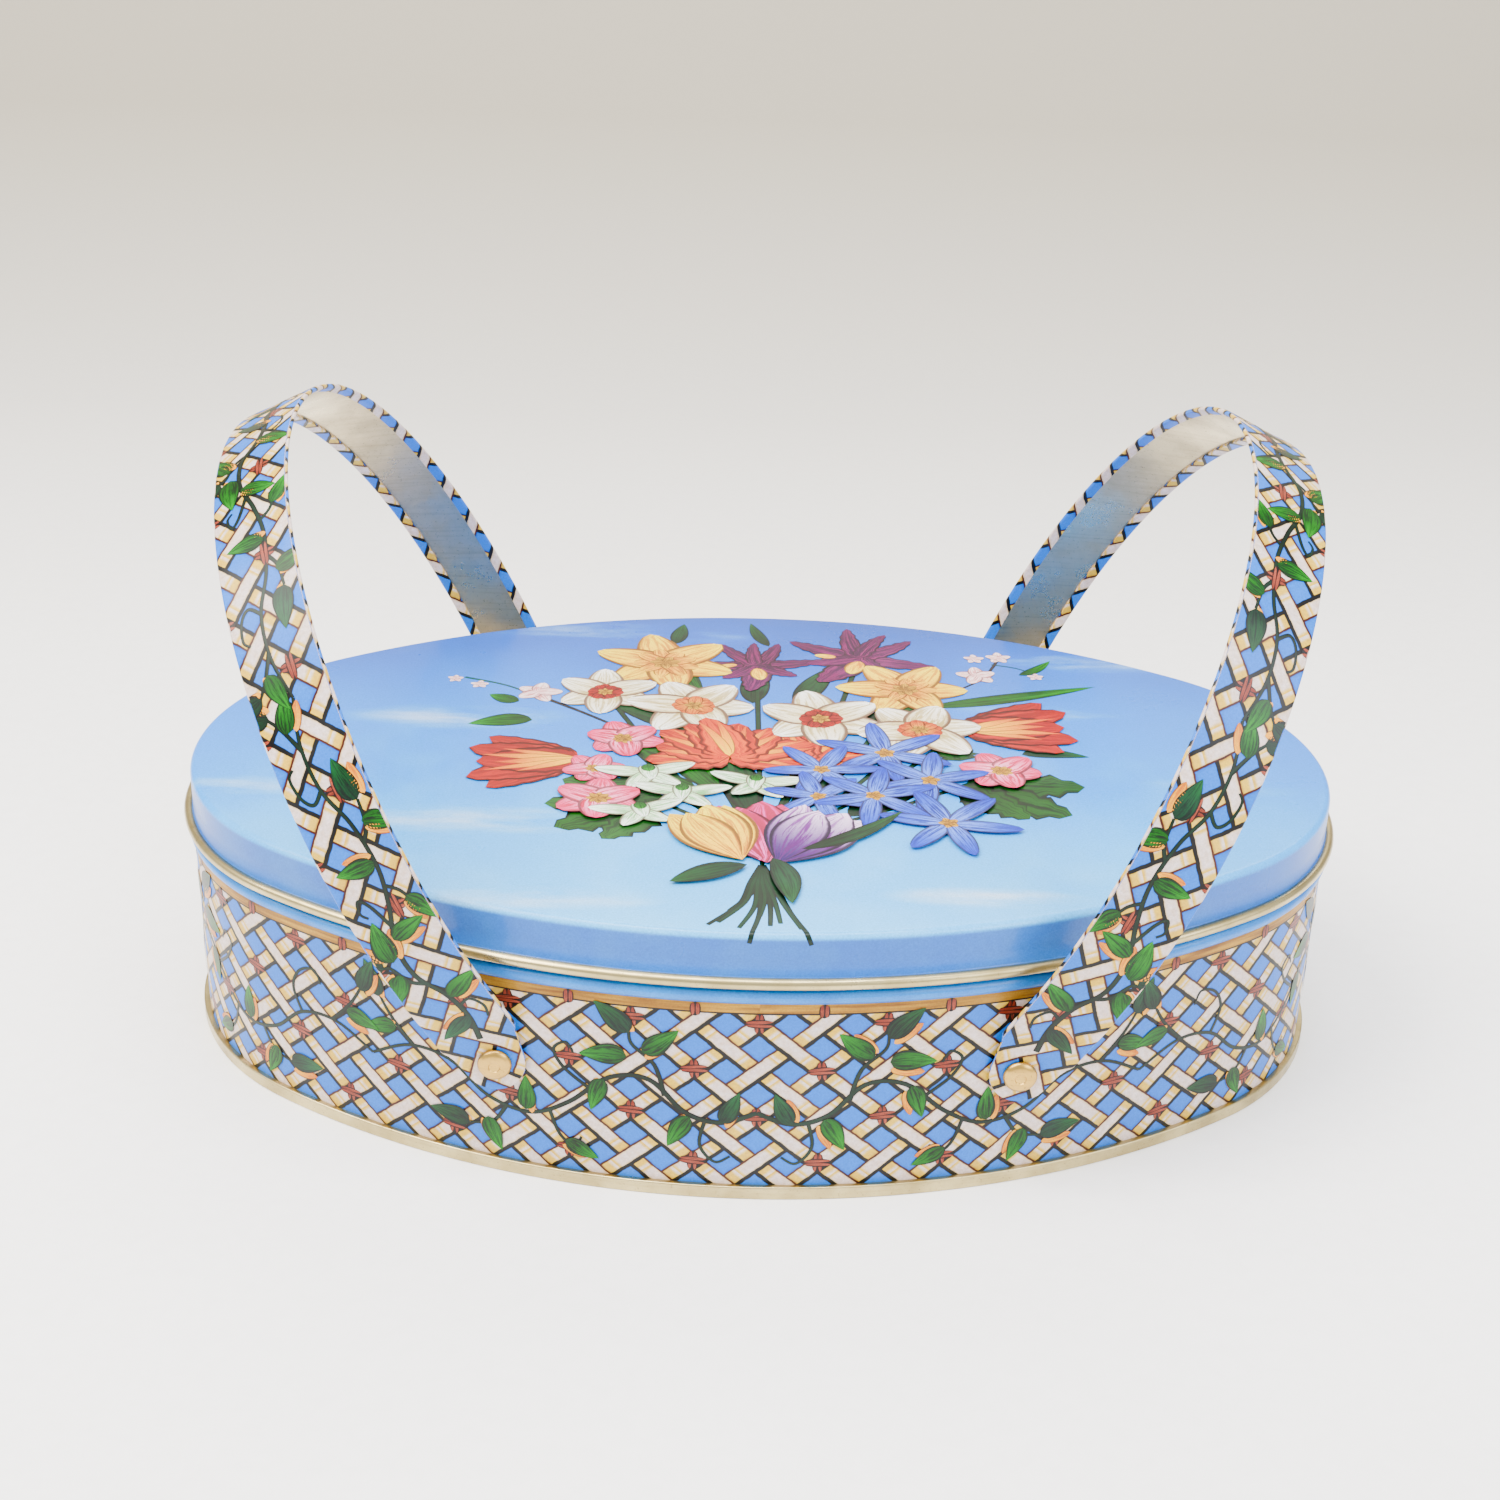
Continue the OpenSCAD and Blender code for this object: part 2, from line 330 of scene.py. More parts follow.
def make_weave_group() -> NodeTree:
    """Builds the printed lattice: slats woven over and under on a blue ground.

    Returns:
        The group's tree.
    """
    sheet, given, result = open_group("woven_lattice", [
        ("Surface", VECTOR, None), ("Half Pitch", FLOAT, 0.0125), ("Rise", FLOAT, 0.0109),
        ("Slat Half", FLOAT, 0.155), ("Line", FLOAT, 0.07),
        ("Ground", COLOUR, srgb("209ee4")), ("Pale", COLOUR, srgb("ece4e2")),
        ("Warm", COLOUR, srgb("ead68e")), ("Ink", COLOUR, srgb("140e0c")), ("Brown", COLOUR, srgb("6c4230"))],
        [("Color", COLOUR), ("Slat", FLOAT)])
    out = given.outputs
    along, across, _ = sheet.split(out["Surface"])
    p = sheet.div(along, out["Half Pitch"])
    q = sheet.div(across, out["Rise"])
    rising = sheet.sub(p, q)
    falling = sheet.add(p, q)
    rising_line = sheet.math("ROUND", rising)
    falling_line = sheet.math("ROUND", falling)
    rising_side = sheet.sub(rising, rising_line)
    falling_side = sheet.sub(falling_line, falling)
    parity = sheet.math("ABSOLUTE", sheet.math("MODULO", sheet.add(rising_line, falling_line), 2.0))
    wobble = sheet.noise(out["Surface"], 420.0, 2.0)
    wobble = sheet.remap(wobble, 0.3, 0.7, -0.012, 0.012)

    def pick(even: Socket, odd: Socket) -> Socket:
        """Takes one number at even crossings and the other at odd ones."""
        return sheet.add(sheet.mul(odd, parity), sheet.mul(even, sheet.sub(1.0, parity)))

    over_side = sheet.add(pick(rising_side, falling_side), wobble)
    under_side = sheet.add(pick(falling_side, rising_side), wobble)
    over = sheet.math("ABSOLUTE", over_side)
    under = sheet.math("ABSOLUTE", under_side)

    def slat(side: Socket, distance: Socket, other: Socket, is_over: bool, ground: Socket) -> Socket:
        """Paints one slat with its outlines over what lies below it.

        Args:
            side: Signed distance from its middle line.
            distance: The same without its sign.
            other: Distance from the crossing slat.
            is_over: Whether it runs over the other.
            ground: Colour below it.

        Returns:
            The colour.
        """
        low = sheet.math("GREATER_THAN", side, 0.0)
        line = sheet.mul(out["Line"], sheet.add(sheet.mul(low, 0.75), 0.75))
        edge = sheet.add(out["Slat Half"], line)
        ink = sheet.mix(low, out["Brown"], out["Ink"])
        warm = sheet.below(other, 0.43 if is_over else 0.42, 0.05)
        if is_over:
            warm = sheet.sub(1.0, warm)
        warm = sheet.math("MAXIMUM", warm, sheet.mul(sheet.below(
            sheet.sub(out["Slat Half"], distance), 0.03, 0.03), 0.35))
        shade = sheet.mix(warm, out["Pale"], out["Warm"])
        streak = sheet.noise(sheet.stretched(out["Surface"], (1.0, 1.0, 1.0)), 900.0, 3.0)
        shade = sheet.mix(sheet.remap(streak, 0.35, 0.75, 0.0, 0.4), shade, srgb("cdb79a"))
        if not is_over:
            gap = sheet.sub(other, out["Slat Half"])
            shade = sheet.mix(sheet.mul(sheet.below(gap, 0.07, 0.05), 0.55), shade, srgb("8d6b4a"))
        painted = sheet.mix(sheet.below(distance, edge), ground, ink)
        return sheet.mix(sheet.below(distance, out["Slat Half"]), painted, shade)

    tint = sheet.noise(out["Surface"], 60.0, 3.0)
    ground = sheet.mix(sheet.remap(tint, 0.3, 0.7, 0.0, 0.22), out["Ground"], srgb("4cb4f0"))
    near = sheet.sub(sheet.math("MINIMUM", over, under), out["Slat Half"])
    ground = sheet.mix(sheet.mul(sheet.below(near, 0.09, 0.06), 0.28), ground, srgb("2d62a8"))
    lower = slat(under_side, under, over, False, ground)
    upper = slat(over_side, over, under, True, lower)
    sheet.feed(result.inputs["Color"], upper)
    sheet.feed(result.inputs["Slat"], sheet.below(sheet.math("MINIMUM", over, under), out["Slat Half"]))
    return sheet.tree


def make_grain_group() -> NodeTree:
    """Builds the fine speckle of an offset print, with slow stains.

    Returns:
        The group's tree.
    """
    sheet, given, result = open_group("print_grain", [
        ("Place", VECTOR, None), ("Color", COLOUR, srgb("ffffff")), ("Strength", FLOAT, 1.0)],
        [("Color", COLOUR), ("Gloss Mask", FLOAT)])
    out = given.outputs
    speck = sheet.noise(out["Place"], 2600.0, 2.0, 0.7)
    stain = sheet.noise(out["Place"], 45.0, 4.0, 0.6)
    amount = sheet.mul(sheet.remap(speck, 0.3, 0.7, 0.0, 0.5), out["Strength"])
    dark = sheet.mix(1.0, out["Color"], srgb("c9ccd4"), "MULTIPLY")
    speckled = sheet.mix(amount, out["Color"], dark)
    light = sheet.mix(sheet.mul(sheet.remap(stain, 0.45, 0.75, 0.0, 0.12), out["Strength"]),
                      speckled, srgb("ffffff"))
    rich = sheet.node("ShaderNodeHueSaturation")
    rich.inputs["Saturation"].default_value = 1.3
    sheet.feed(rich.inputs["Color"], light)
    deep = sheet.node("ShaderNodeGamma")
    deep.inputs["Gamma"].default_value = 1.8
    sheet.feed(deep.inputs["Color"], rich.outputs[0])
    sheet.feed(result.inputs["Color"], deep.outputs[0])
    sheet.feed(result.inputs["Gloss Mask"], sheet.remap(stain, 0.35, 0.7, 0.0, 1.0))
    return sheet.tree


def make_metal_group() -> NodeTree:
    """Builds the tone of handled sheet metal: rolling streaks, smudges and specks.

    Returns:
        The group's tree.
    """
    sheet, given, result = open_group("handled_metal", [
        ("Place", VECTOR, None), ("Bright", COLOUR, srgb("e8dcb8")), ("Dull", COLOUR, srgb("a8966c")),
        ("Tarnish", COLOUR, srgb("5b4a33")), ("Streak", FLOAT, 1.0)],
        [("Color", COLOUR), ("Roughness", FLOAT), ("Height", FLOAT)])
    out = given.outputs
    streaks = sheet.noise(sheet.stretched(out["Place"], (60.0, 60.0, 1400.0)), 1.0, 3.0)
    smudge = sheet.noise(out["Place"], 70.0, 4.0, 0.6)
    specks = sheet.noise(out["Place"], 1900.0, 2.0, 0.6)
    tone = sheet.mix(sheet.mul(sheet.remap(smudge, 0.35, 0.7, 0.0, 0.8), out["Streak"]),
                     out["Bright"], out["Dull"])
    tone = sheet.mix(sheet.remap(streaks, 0.5, 0.75, 0.0, 0.35), tone, out["Dull"])
    tone = sheet.mix(sheet.remap(specks, 0.62, 0.78, 0.0, 0.7), tone, out["Tarnish"])
    rough = sheet.add(sheet.remap(smudge, 0.3, 0.75, 0.24, 0.44), sheet.remap(specks, 0.6, 0.8, 0.0, 0.2))
    sheet.feed(result.inputs["Color"], tone)
    sheet.feed(result.inputs["Roughness"], rough)
    sheet.feed(result.inputs["Height"], sheet.add(streaks, specks))
    return sheet.tree


def make_cloud_group() -> NodeTree:
    """Builds one wisp of cloud: a long soft patch broken up by streaks.

    Returns:
        The group's tree.
    """
    sheet, given, result = open_group("cloud_wisp", [
        ("Place", VECTOR, None), ("X", FLOAT, 0.0), ("Y", FLOAT, 0.0),
        ("Length", FLOAT, 0.03), ("Width", FLOAT, 0.008), ("Strength", FLOAT, 1.0), ("Before", FLOAT, 0.0)],
        [("Mask", FLOAT)])
    out = given.outputs
    x, y, _ = sheet.split(out["Place"])
    far_x = sheet.div(sheet.sub(x, out["X"]), out["Length"])
    far_y = sheet.div(sheet.sub(y, out["Y"]), out["Width"])
    far = sheet.add(sheet.mul(far_x, far_x), sheet.mul(far_y, far_y))
    body = sheet.sub(1.0, far, clamp=True)
    wisps = sheet.noise(sheet.stretched(out["Place"], (28.0, 120.0, 1.0)), 1.0, 5.0, 0.65)
    ripple = sheet.remap(wisps, 0.36, 0.66, 0.0, 1.0)
    mask = sheet.mul(sheet.mul(body, ripple), out["Strength"])
    total = sheet.math("MAXIMUM", mask, out["Before"])
    sheet.feed(result.inputs["Mask"], total)
    return sheet.tree


class Groups:
    """The shader node groups that several finishes share."""

    def __init__(self) -> None:
        """Builds each group once."""
        self.weave = make_weave_group()
        self.grain = make_grain_group()
        self.metal = make_metal_group()
        self.cloud = make_cloud_group()


GROUPS = Groups()


# ---- finishes


def start_material(name: str) -> tuple[Material, NodeSheet, Node]:
    """Starts a material with one Principled shader.

    Args:
        name: The material's name.

    Returns:
        The material, a sheet on its tree and the Principled node.
    """
    material = bpy.data.materials.new(name)
    material.use_nodes = True
    material.node_tree.nodes.clear()
    sheet = NodeSheet(material.node_tree)
    shader = sheet.node("ShaderNodeBsdfPrincipled")
    output = sheet.node("ShaderNodeOutputMaterial")
    sheet.feed(output.inputs["Surface"], shader.outputs[0])
    return material, sheet, shader


def set_gloss(shader: Node, specular: float, coat: float, coat_roughness: float) -> None:
    """Sets how the lacquer shines.

    Args:
        shader: The Principled node.
        specular: Its specular level.
        coat: Weight of its clear coat.
        coat_roughness: Roughness of that coat.
    """
    shader.inputs["Specular IOR Level"].default_value = specular
    shader.inputs["Coat Weight"].default_value = coat
    shader.inputs["Coat Roughness"].default_value = coat_roughness


def add_bump(sheet: NodeSheet, shader: Node, height: Socket, strength: float,
             distance: float) -> None:
    """Joins a height to the shader's normal through a Bump node.

    Args:
        sheet: The material's sheet.
        shader: The Principled node.
        height: The height's socket.
        strength: How strongly it shades.
        distance: Height of one unit, in metres.
    """
    bump = sheet.node("ShaderNodeBump")
    bump.inputs["Strength"].default_value = strength
    bump.inputs["Distance"].default_value = distance
    sheet.feed(bump.inputs["Height"], height)
    sheet.feed(shader.inputs["Normal"], bump.outputs[0])


@dataclass(frozen=True)
class LatticePrint:
    """Lacquered lattice print, read from the piece's own map in metres."""

    name: str
    half_pitch: float
    rise: float
    shift: Pair = (0.0, 0.0)
    rail: Pair | None = None
    rail_top: Colour = srgb("2ea3e6")

    def material(self) -> Material:
        """Builds the lattice, its rail and the lacquer over it.

        Returns:
            The material.
        """
        material, sheet, shader = start_material(self.name)
        surface = sheet.node("ShaderNodeUVMap", uv_map="surface").outputs[0]
        place = sheet.node("ShaderNodeTexCoord").outputs["Object"]
        moved = sheet.vector("ADD", surface, (self.shift[0], self.shift[1], 0.0))
        weave = sheet.group(GROUPS.weave, Surface=moved, Half_Pitch=self.half_pitch, Rise=self.rise)
        colour = weave.outputs["Color"]
        if self.rail:
            colour = self.add_rail(sheet, surface, colour)
        grain = sheet.group(GROUPS.grain, Place=place, Color=colour, Strength=0.8)
        sheet.feed(shader.inputs["Base Color"], grain.outputs["Color"])
        sheet.feed(shader.inputs["Roughness"], sheet.remap(grain.outputs["Gloss Mask"], 0.0, 1.0, 0.34, 0.5))
        set_gloss(shader, 0.2, 0.08, 0.12)
        add_bump(sheet, shader, weave.outputs["Slat"], 0.12, 0.00004)
        return material

    def add_rail(self, sheet: NodeSheet, surface: Socket, colour: Socket) -> Socket:
        """Paints the tan rail and its dark line under the bead.

        Args:
            sheet: The material's sheet.
            surface: The map.
            colour: The lattice.

        Returns:
            The colour with the rail.
        """
        _, height, _ = sheet.split(surface)
        tan = sheet.mix(sheet.remap(sheet.noise(sheet.stretched(surface, (60.0, 900.0, 1.0)), 1.0, 4.0),
                                    0.3, 0.7, 0.0, 1.0), srgb("dcc27e"), srgb("9c7c48"))
        over_line = sheet.above(height, self.rail[0] - 0.35 * MM, 0.06 * MM)
        over_rail = sheet.above(height, self.rail[0], 0.08 * MM)
        over_bead = sheet.above(height, self.rail[1], 0.08 * MM)
        lined = sheet.mix(over_line, colour, srgb("2a1c12"))
        railed = sheet.mix(over_rail, lined, tan)
        return sheet.mix(over_bead, railed, self.rail_top)


@dataclass(frozen=True)
class PlainLacquer:
    """One lacquered colour with print grain and light handling marks."""

    name: str
    light: Colour
    deep: Colour
    roughness: float = 0.3

    def material(self) -> Material:
        """Builds the lacquer.

        Returns:
            The material.
        """
        material, sheet, shader = start_material(self.name)
        place = sheet.node("ShaderNodeTexCoord").outputs["Object"]
        blotch = sheet.noise(place, 90.0, 4.0, 0.6)
        colour = sheet.mix(sheet.remap(blotch, 0.3, 0.7, 0.0, 1.0), self.light, self.deep)
        grain = sheet.group(GROUPS.grain, Place=place, Color=colour, Strength=0.8)
        sheet.feed(shader.inputs["Base Color"], grain.outputs["Color"])
        sheet.feed(shader.inputs["Roughness"], sheet.remap(
            grain.outputs["Gloss Mask"], 0.0, 1.0, self.roughness, self.roughness + 0.14))
        set_gloss(shader, 0.3, 0.15, 0.1)
        add_bump(sheet, shader, blotch, 0.1, 0.0002)
        return material


@dataclass(frozen=True)
class SkyPrint:
    """Glossy printed sky: deep blue at the back, pale at the front, with thin clouds; the lid's side is
    painted a darker blue as shade.
    """

    name: str
    half_width: float
    top: float
    clouds: tuple[tuple[float, float, float, float, float], ...]

    def material(self) -> Material:
        """Builds the sky, its clouds, the painted shade on the lid's side and the lacquer.

        Returns:
            The material.
        """
        material, sheet, shader = start_material(self.name)
        place = sheet.node("ShaderNodeTexCoord").outputs["Object"]
        _, y, z = sheet.split(place)
        slow = sheet.remap(sheet.noise(place, 14.0, 3.0), 0.3, 0.7, -0.06, 0.06)
        depth = sheet.add(sheet.div(y, 2.0 * self.half_width), 0.5)
        ramp = sheet.node("ShaderNodeValToRGB")
        sheet.feed(ramp.inputs[0], sheet.add(depth, slow))
        stops = ((0.0, "aee2ff"), (0.3, "98d8ff"), (0.62, "5cb6f2"), (0.82, "3a98de"), (1.0, "3488cc"))
        while len(ramp.color_ramp.elements) < len(stops):
            ramp.color_ramp.elements.new(0.5)
        for element, (where, code) in zip(ramp.color_ramp.elements, stops):
            element.position = where
            element.color = srgb(code)
        mask: Socket | float = 0.0
        for cloud_x, cloud_y, length, width, strength in self.clouds:
            mask = sheet.group(GROUPS.cloud, Place=place, X=cloud_x * MM, Y=cloud_y * MM, Length=length * MM,
                               Width=width * MM, Strength=strength, Before=mask).outputs["Mask"]
        sky = sheet.mix(sheet.mul(mask, 0.85, clamp=True), ramp.outputs["Color"], srgb("eef0f8"))
        # Painted shade: below the top's round edge the lid's side gets a darker steel blue than the sky,
        # standing in for the shade on its upright face.
        side = sheet.below(z, self.top - 1.2 * MM, 0.5 * MM)
        shaded_skirt = sheet.mix(sheet.remap(sheet.noise(place, 22.0, 3.0), 0.3, 0.7, 0.0, 1.0),
                          srgb("7cb0de"), srgb("6ea4d6"))
        colour = sheet.mix(side, sky, shaded_skirt)
        grain = sheet.group(GROUPS.grain, Place=place, Color=colour, Strength=0.9)
        sheet.feed(shader.inputs["Base Color"], grain.outputs["Color"])
        sheet.feed(shader.inputs["Roughness"], sheet.remap(grain.outputs["Gloss Mask"], 0.0, 1.0, 0.26, 0.4))
        set_gloss(shader, 0.3, 0.15, 0.09)
        add_bump(sheet, shader, sheet.noise(place, 160.0, 2.0), 0.06, 0.0003)
        return material


@dataclass(frozen=True)
class HandledMetal:
    """Bare or plated metal that shows rolling streaks, smudges and small specks."""

    name: str
    bright: Colour
    dull: Colour
    tarnish: Colour
    streak: float = 1.0
    coat: float = 0.2

    def material(self) -> Material:
        """Builds the metal.

        Returns:
            The material.
        """
        material, sheet, shader = start_material(self.name)
        place = sheet.node("ShaderNodeTexCoord").outputs["Object"]
        metal = sheet.group(GROUPS.metal, Place=place, Bright=self.bright, Dull=self.dull,
                            Tarnish=self.tarnish, Streak=self.streak)
        sheet.feed(shader.inputs["Base Color"], metal.outputs["Color"])
        sheet.feed(shader.inputs["Roughness"], metal.outputs["Roughness"])
        shader.inputs["Metallic"].default_value = 1.0
        shader.inputs["Coat Weight"].default_value = self.coat
        shader.inputs["Coat Roughness"].default_value = 0.2
        add_bump(sheet, shader, metal.outputs["Height"], 0.08, 0.00003)
        return material


@dataclass(frozen=True)
class PrintedInk:
    """Ink of flowers and leaves: each shape carries its own colours and its own map."""

    name: str

    def material(self) -> Material:
        """Builds the ink from the attributes base, tip, vein and petal.

        Returns:
            The material.
        """
        material, sheet, shader = start_material(self.name)
        place = sheet.node("ShaderNodeTexCoord").outputs["Object"]
        petal = sheet.node("ShaderNodeAttribute", attribute_name="petal").outputs["Vector"]
        base = sheet.node("ShaderNodeAttribute", attribute_name="base").outputs["Color"]
        tip = sheet.node("ShaderNodeAttribute", attribute_name="tip").outputs["Color"]
        vein = sheet.node("ShaderNodeAttribute", attribute_name="vein").outputs["Color"]
        across, along, seed = sheet.split(petal)
        wide = sheet.math("ABSOLUTE", across)
        body = sheet.mix(sheet.math("POWER", sheet.math("MAXIMUM", along, 0.0), 1.3), base, tip)
        sweep = sheet.add(sheet.mul(across, 4.2), seed)
        lines = sheet.noise(sheet.join(sweep, sheet.mul(along, 1.1), seed), 1.6, 4.0, 0.7)
        streak = sheet.remap(lines, 0.49, 0.57, 0.0, 1.0)
        reach = sheet.remap(along, 0.0, 1.0, 1.0, 0.6)
        streaked = sheet.mix(sheet.mul(streak, reach), body, vein)
        rib = sheet.mul(sheet.below(wide, 0.05, 0.04), 0.5)
        ribbed = sheet.mix(rib, streaked, vein)
        hollow = sheet.mul(sheet.remap(wide, 0.5, 1.0, 0.0, 0.35), sheet.remap(along, 0.0, 1.0, 1.0, 0.5))
        shaded = sheet.mix(hollow, ribbed, vein)
        line = sheet.above(wide, 0.84, 0.06)
        dark = sheet.mix(1.0, base, srgb("8c7474"), "MULTIPLY")
        outlined = sheet.mix(sheet.mul(line, 0.8), shaded, dark)
        grain = sheet.group(GROUPS.grain, Place=place, Color=outlined, Strength=0.7)
        sheet.feed(shader.inputs["Base Color"], grain.outputs["Color"])
        sheet.feed(shader.inputs["Roughness"], sheet.remap(grain.outputs["Gloss Mask"], 0.0, 1.0, 0.3, 0.42))
        set_gloss(shader, 0.2, 0.06, 0.1)
        return material


# ---- meshes


def clean_mesh(mesh: bpy.types.Mesh, merge: float, sliver: float, outwards: bool = True,
               reverse: bool = False) -> None:
    """Merges doubles, dissolves slivers and turns faces the right way.

    Args:
        mesh: The mesh.
        merge: Points nearer than this become one.
        sliver: Edges shorter than this are dissolved.
        outwards: Whether faces are made to point out.
        reverse: Whether faces are turned over.
    """
    work = bmesh.new()
    work.from_mesh(mesh)
    bmesh.ops.remove_doubles(work, verts=work.verts, dist=merge)
    bmesh.ops.dissolve_degenerate(work, dist=sliver, edges=work.edges)
    if outwards:
        bmesh.ops.recalc_face_normals(work, faces=work.faces)
    if reverse:
        bmesh.ops.reverse_faces(work, faces=work.faces)
    work.to_mesh(mesh)
    work.free()


class Draft:
    """Points, faces, maps and finishes of a mesh while it is drawn."""

    def __init__(self) -> None:
        """Starts empty."""
        self.points: list[Vector] = []
        self.faces: list[list[int]] = []
        self.maps: list[list[Pair]] = []
        self.zones: list[int] = []

    def grid(self, rows: Sequence[Sequence[Vector]], maps: Sequence[Sequence[Pair]], zones: Sequence[int],
             closed_rows: bool, closed_ring: bool, row_end: float = 0.0) -> None:
        """Adds a grid of four-sided faces.

        Args:
            rows: Points, row by row.
            maps: The surface coordinates of each point.
            zones: The finish of the faces after each point of a row.
            closed_rows: Whether the last row joins the first.
            closed_ring: Whether each row's last point joins its first.
            row_end: The first surface coordinate at the joining row.
        """
        start = len(self.points)
        wide = len(rows[0])
        for row in rows:
            self.points.extend(row)
        row_count = len(rows) if closed_rows else len(rows) - 1
        ring_count = wide if closed_ring else wide - 1
        for i in range(row_count):
            after = (i + 1) % len(rows)
            for j in range(ring_count):
                beside = (j + 1) % wide
                self.faces.append([start + i * wide + j, start + after * wide + j,
                                   start + after * wide + beside, start + i * wide + beside])
                here, there = maps[i], maps[after]
                if after == 0:
                    there = [(row_end, pair[1]) for pair in there]
                self.maps.append([here[j], there[j], there[beside], here[beside]])
                self.zones.append(zones[j])

    def build(self, name: str, finishes: Sequence[Material],
              angle: float = 40.0) -> Piece:
        """Turns the draft into a finished object.

        Args:
            name: The piece's name.
            finishes: Materials in the order of the zones.
            angle: Edges sharper than this, in degrees, stay sharp.

        Returns:
            The new object, with doubles merged and faces pointing out.
        """
        mesh = bpy.data.meshes.new(name)
        mesh.from_pydata([tuple(p) for p in self.points], [], self.faces)
        layer = mesh.uv_layers.new(name="surface")
        flat = [number for corner in self.maps for pair in corner for number in pair]
        layer.data.foreach_set("uv", flat)
        mesh.polygons.foreach_set("material_index", self.zones)
        for material in finishes:
            mesh.materials.append(material)
        clean_mesh(mesh, 1e-7, 1e-8)
        mesh.polygons.foreach_set("use_smooth", [True] * len(mesh.polygons))
        mesh.set_sharp_from_angle(angle=math.radians(angle))
        return add_object(name, mesh)


def add_object(name: str, data: bpy.types.ID) -> Piece:
    """Adds an object to the scene.

    Args:
        name: Its name.
        data: Its mesh, lamp or camera.

    Returns:
        The new object.
    """
    made = bpy.data.objects.new(name, data)
    bpy.context.scene.collection.objects.link(made)
    return made


def arc(centre: Pair, radius: float, start: float, end: float, steps: int) -> list[Pair]:
    """Points along a round stretch.

    Args:
        centre: Centre of the arc.
        radius: Its radius.
        start: First direction, in degrees.
        end: Last direction, in degrees.
        steps: Number of stretches between the points.

    Returns:
        The points, ends included.
    """
    turns = [math.radians(blend(start, end, i / steps)) for i in range(steps + 1)]
    return [(centre[0] + radius * math.cos(t), centre[1] + radius * math.sin(t)) for t in turns]


def settle(piece: Piece, body: str, slot: str, replaced: Sequence[str] = ()) -> None:
    """Lets a finished piece ride on its body.

    Args:
        piece: The piece, in place.
        body: The body it moves with.
        slot: The record's material slot; not used.
        replaced: CAD nodes that it stands for.
    """
    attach(piece, body)
    if replaced:
        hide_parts(*replaced)
    log.info("%s: %d faces on %s", piece.name, len(piece.data.polygons), body)


@dataclass(frozen=True)
class Oval:
    """Four-centre oval that the wall, the lid and the seam follow."""

    half_length: float
    half_width: float
    join_angle: float = math.radians(55)

    @property
    def step(self) -> float:
        """Difference between the side arcs' radius and the end arcs' radius."""
        share = math.cos(self.join_angle) + math.sin(self.join_angle) - 1
        return (self.half_length - self.half_width) / share

    @property
    def end_shift(self) -> float:
        """Distance of the end arcs' centres from the middle."""
        return self.step * math.cos(self.join_angle)

    @property
    def side_shift(self) -> float:
        """Distance of the side arcs' centres from the middle."""
        return self.step * math.sin(self.join_angle)

    @property
    def side_run(self) -> float:
        """Length of half a side arc."""
        return (self.half_width + self.side_shift) * (math.pi / 2 - self.join_angle)

    @property
    def quarter(self) -> float:
        """Length of a quarter of the outline."""
        return self.side_run + (self.half_length - self.end_shift) * self.join_angle

    @property
    def length(self) -> float:
        """Length of the whole outline."""
        return 4 * self.quarter

    def place(self, along: float, height: float, offset: float) -> Vector:
        """A point over the outline.

        Args:
            along: Distance round the outline, from the middle of the front towards +X.
            height: Height above the base.
            offset: Distance outwards from the outline.

        Returns:
            The point.
        """
        part, run = divmod(along % self.length, self.quarter)
        part = int(part)
        if part % 2:
            run = self.quarter - run
        if run < self.side_run:
            radius = self.half_width + self.side_shift
            turn = run / radius - math.pi / 2
            x = (radius + offset) * math.cos(turn)
            y = self.side_shift + (radius + offset) * math.sin(turn)
        else:
            radius = self.half_length - self.end_shift
            turn = (run - self.side_run) / radius - self.join_angle
            x = self.end_shift + (radius + offset) * math.cos(turn)
            y = (radius + offset) * math.sin(turn)
        return Vector((x if part in (0, 1) else -x, y if part in (0, 3) else -y, height))

    def stations(self, side_steps: int = 30, end_steps: int = 44) -> list[float]:
        """Distances round the outline at which a sweep has its rows.

        Args:
            side_steps: Rows on half a side arc.
            end_steps: Rows on half an end arc.

        Returns:
            The distances.
        """
        side = [self.side_run * i / side_steps for i in range(side_steps)]
        end = [blend(self.side_run, self.quarter, i / end_steps) for i in range(end_steps)]
        half = side + end
        back = [2 * self.quarter - run for run in reversed(half[1:])]
        whole = half + [self.quarter] + back
        return whole + [run + 2 * self.quarter for run in whole]

    def spine(self, point: Vector, share: float, height: float) -> Vector:
        """A point between the outline and the spine along the middle.

        Args:
            point: A point on the outline.
            share: 0 at the outline, 1 at the spine.
            height: Its height.

        Returns:
            The point.
        """
        reach = self.end_shift
        axis_x = max(-reach, min(reach, point.x * reach / self.half_length))
        return Vector((blend(point.x, axis_x, share), blend(point.y, 0.0, share), height))


def sweep(draft: Draft, oval: Oval, section: Sequence[tuple[float, float, int]], closed: bool = True,
          caps: Sequence[tuple[float, int, int]] = ()) -> None:
    """Sweeps a section round the oval.

    Args:
        draft: The draft to add to.
        oval: The outline.
        section: Offset, height and finish of each point, in order.
        closed: Whether the section's last point joins its first.
        caps: Height, finish and number of rings of the flat panels before and after the section.
    """
    stations = oval.stations()
    rows: list[list[Vector]] = []
    maps: list[list[Pair]] = []
    zones = [zone for _, _, zone in section]
    for along in stations:
        row = [oval.place(along, height, offset) for offset, height, _ in section]
        coords = [(along, height) for _, height, _ in section]
        if caps:
            (top, _, rings), (low, _, _) = caps
            before = [oval.spine(row[0], 1 - i / rings, top) for i in range(rings)]
            after = [oval.spine(row[-1], (i + 1) / rings, low) for i in range(rings)]
            coords = [(along, top)] * rings + coords + [(along, low)] * rings
            row = before + row + after
        rows.append(row)
        maps.append(coords)
    if caps:
        (_, top_zone, rings), (_, low_zone, _) = caps
        zones = [top_zone] * rings + zones[:-1] + [low_zone] * (rings + 1)
    draft.grid(rows, maps, zones, True, closed and not caps, oval.length)


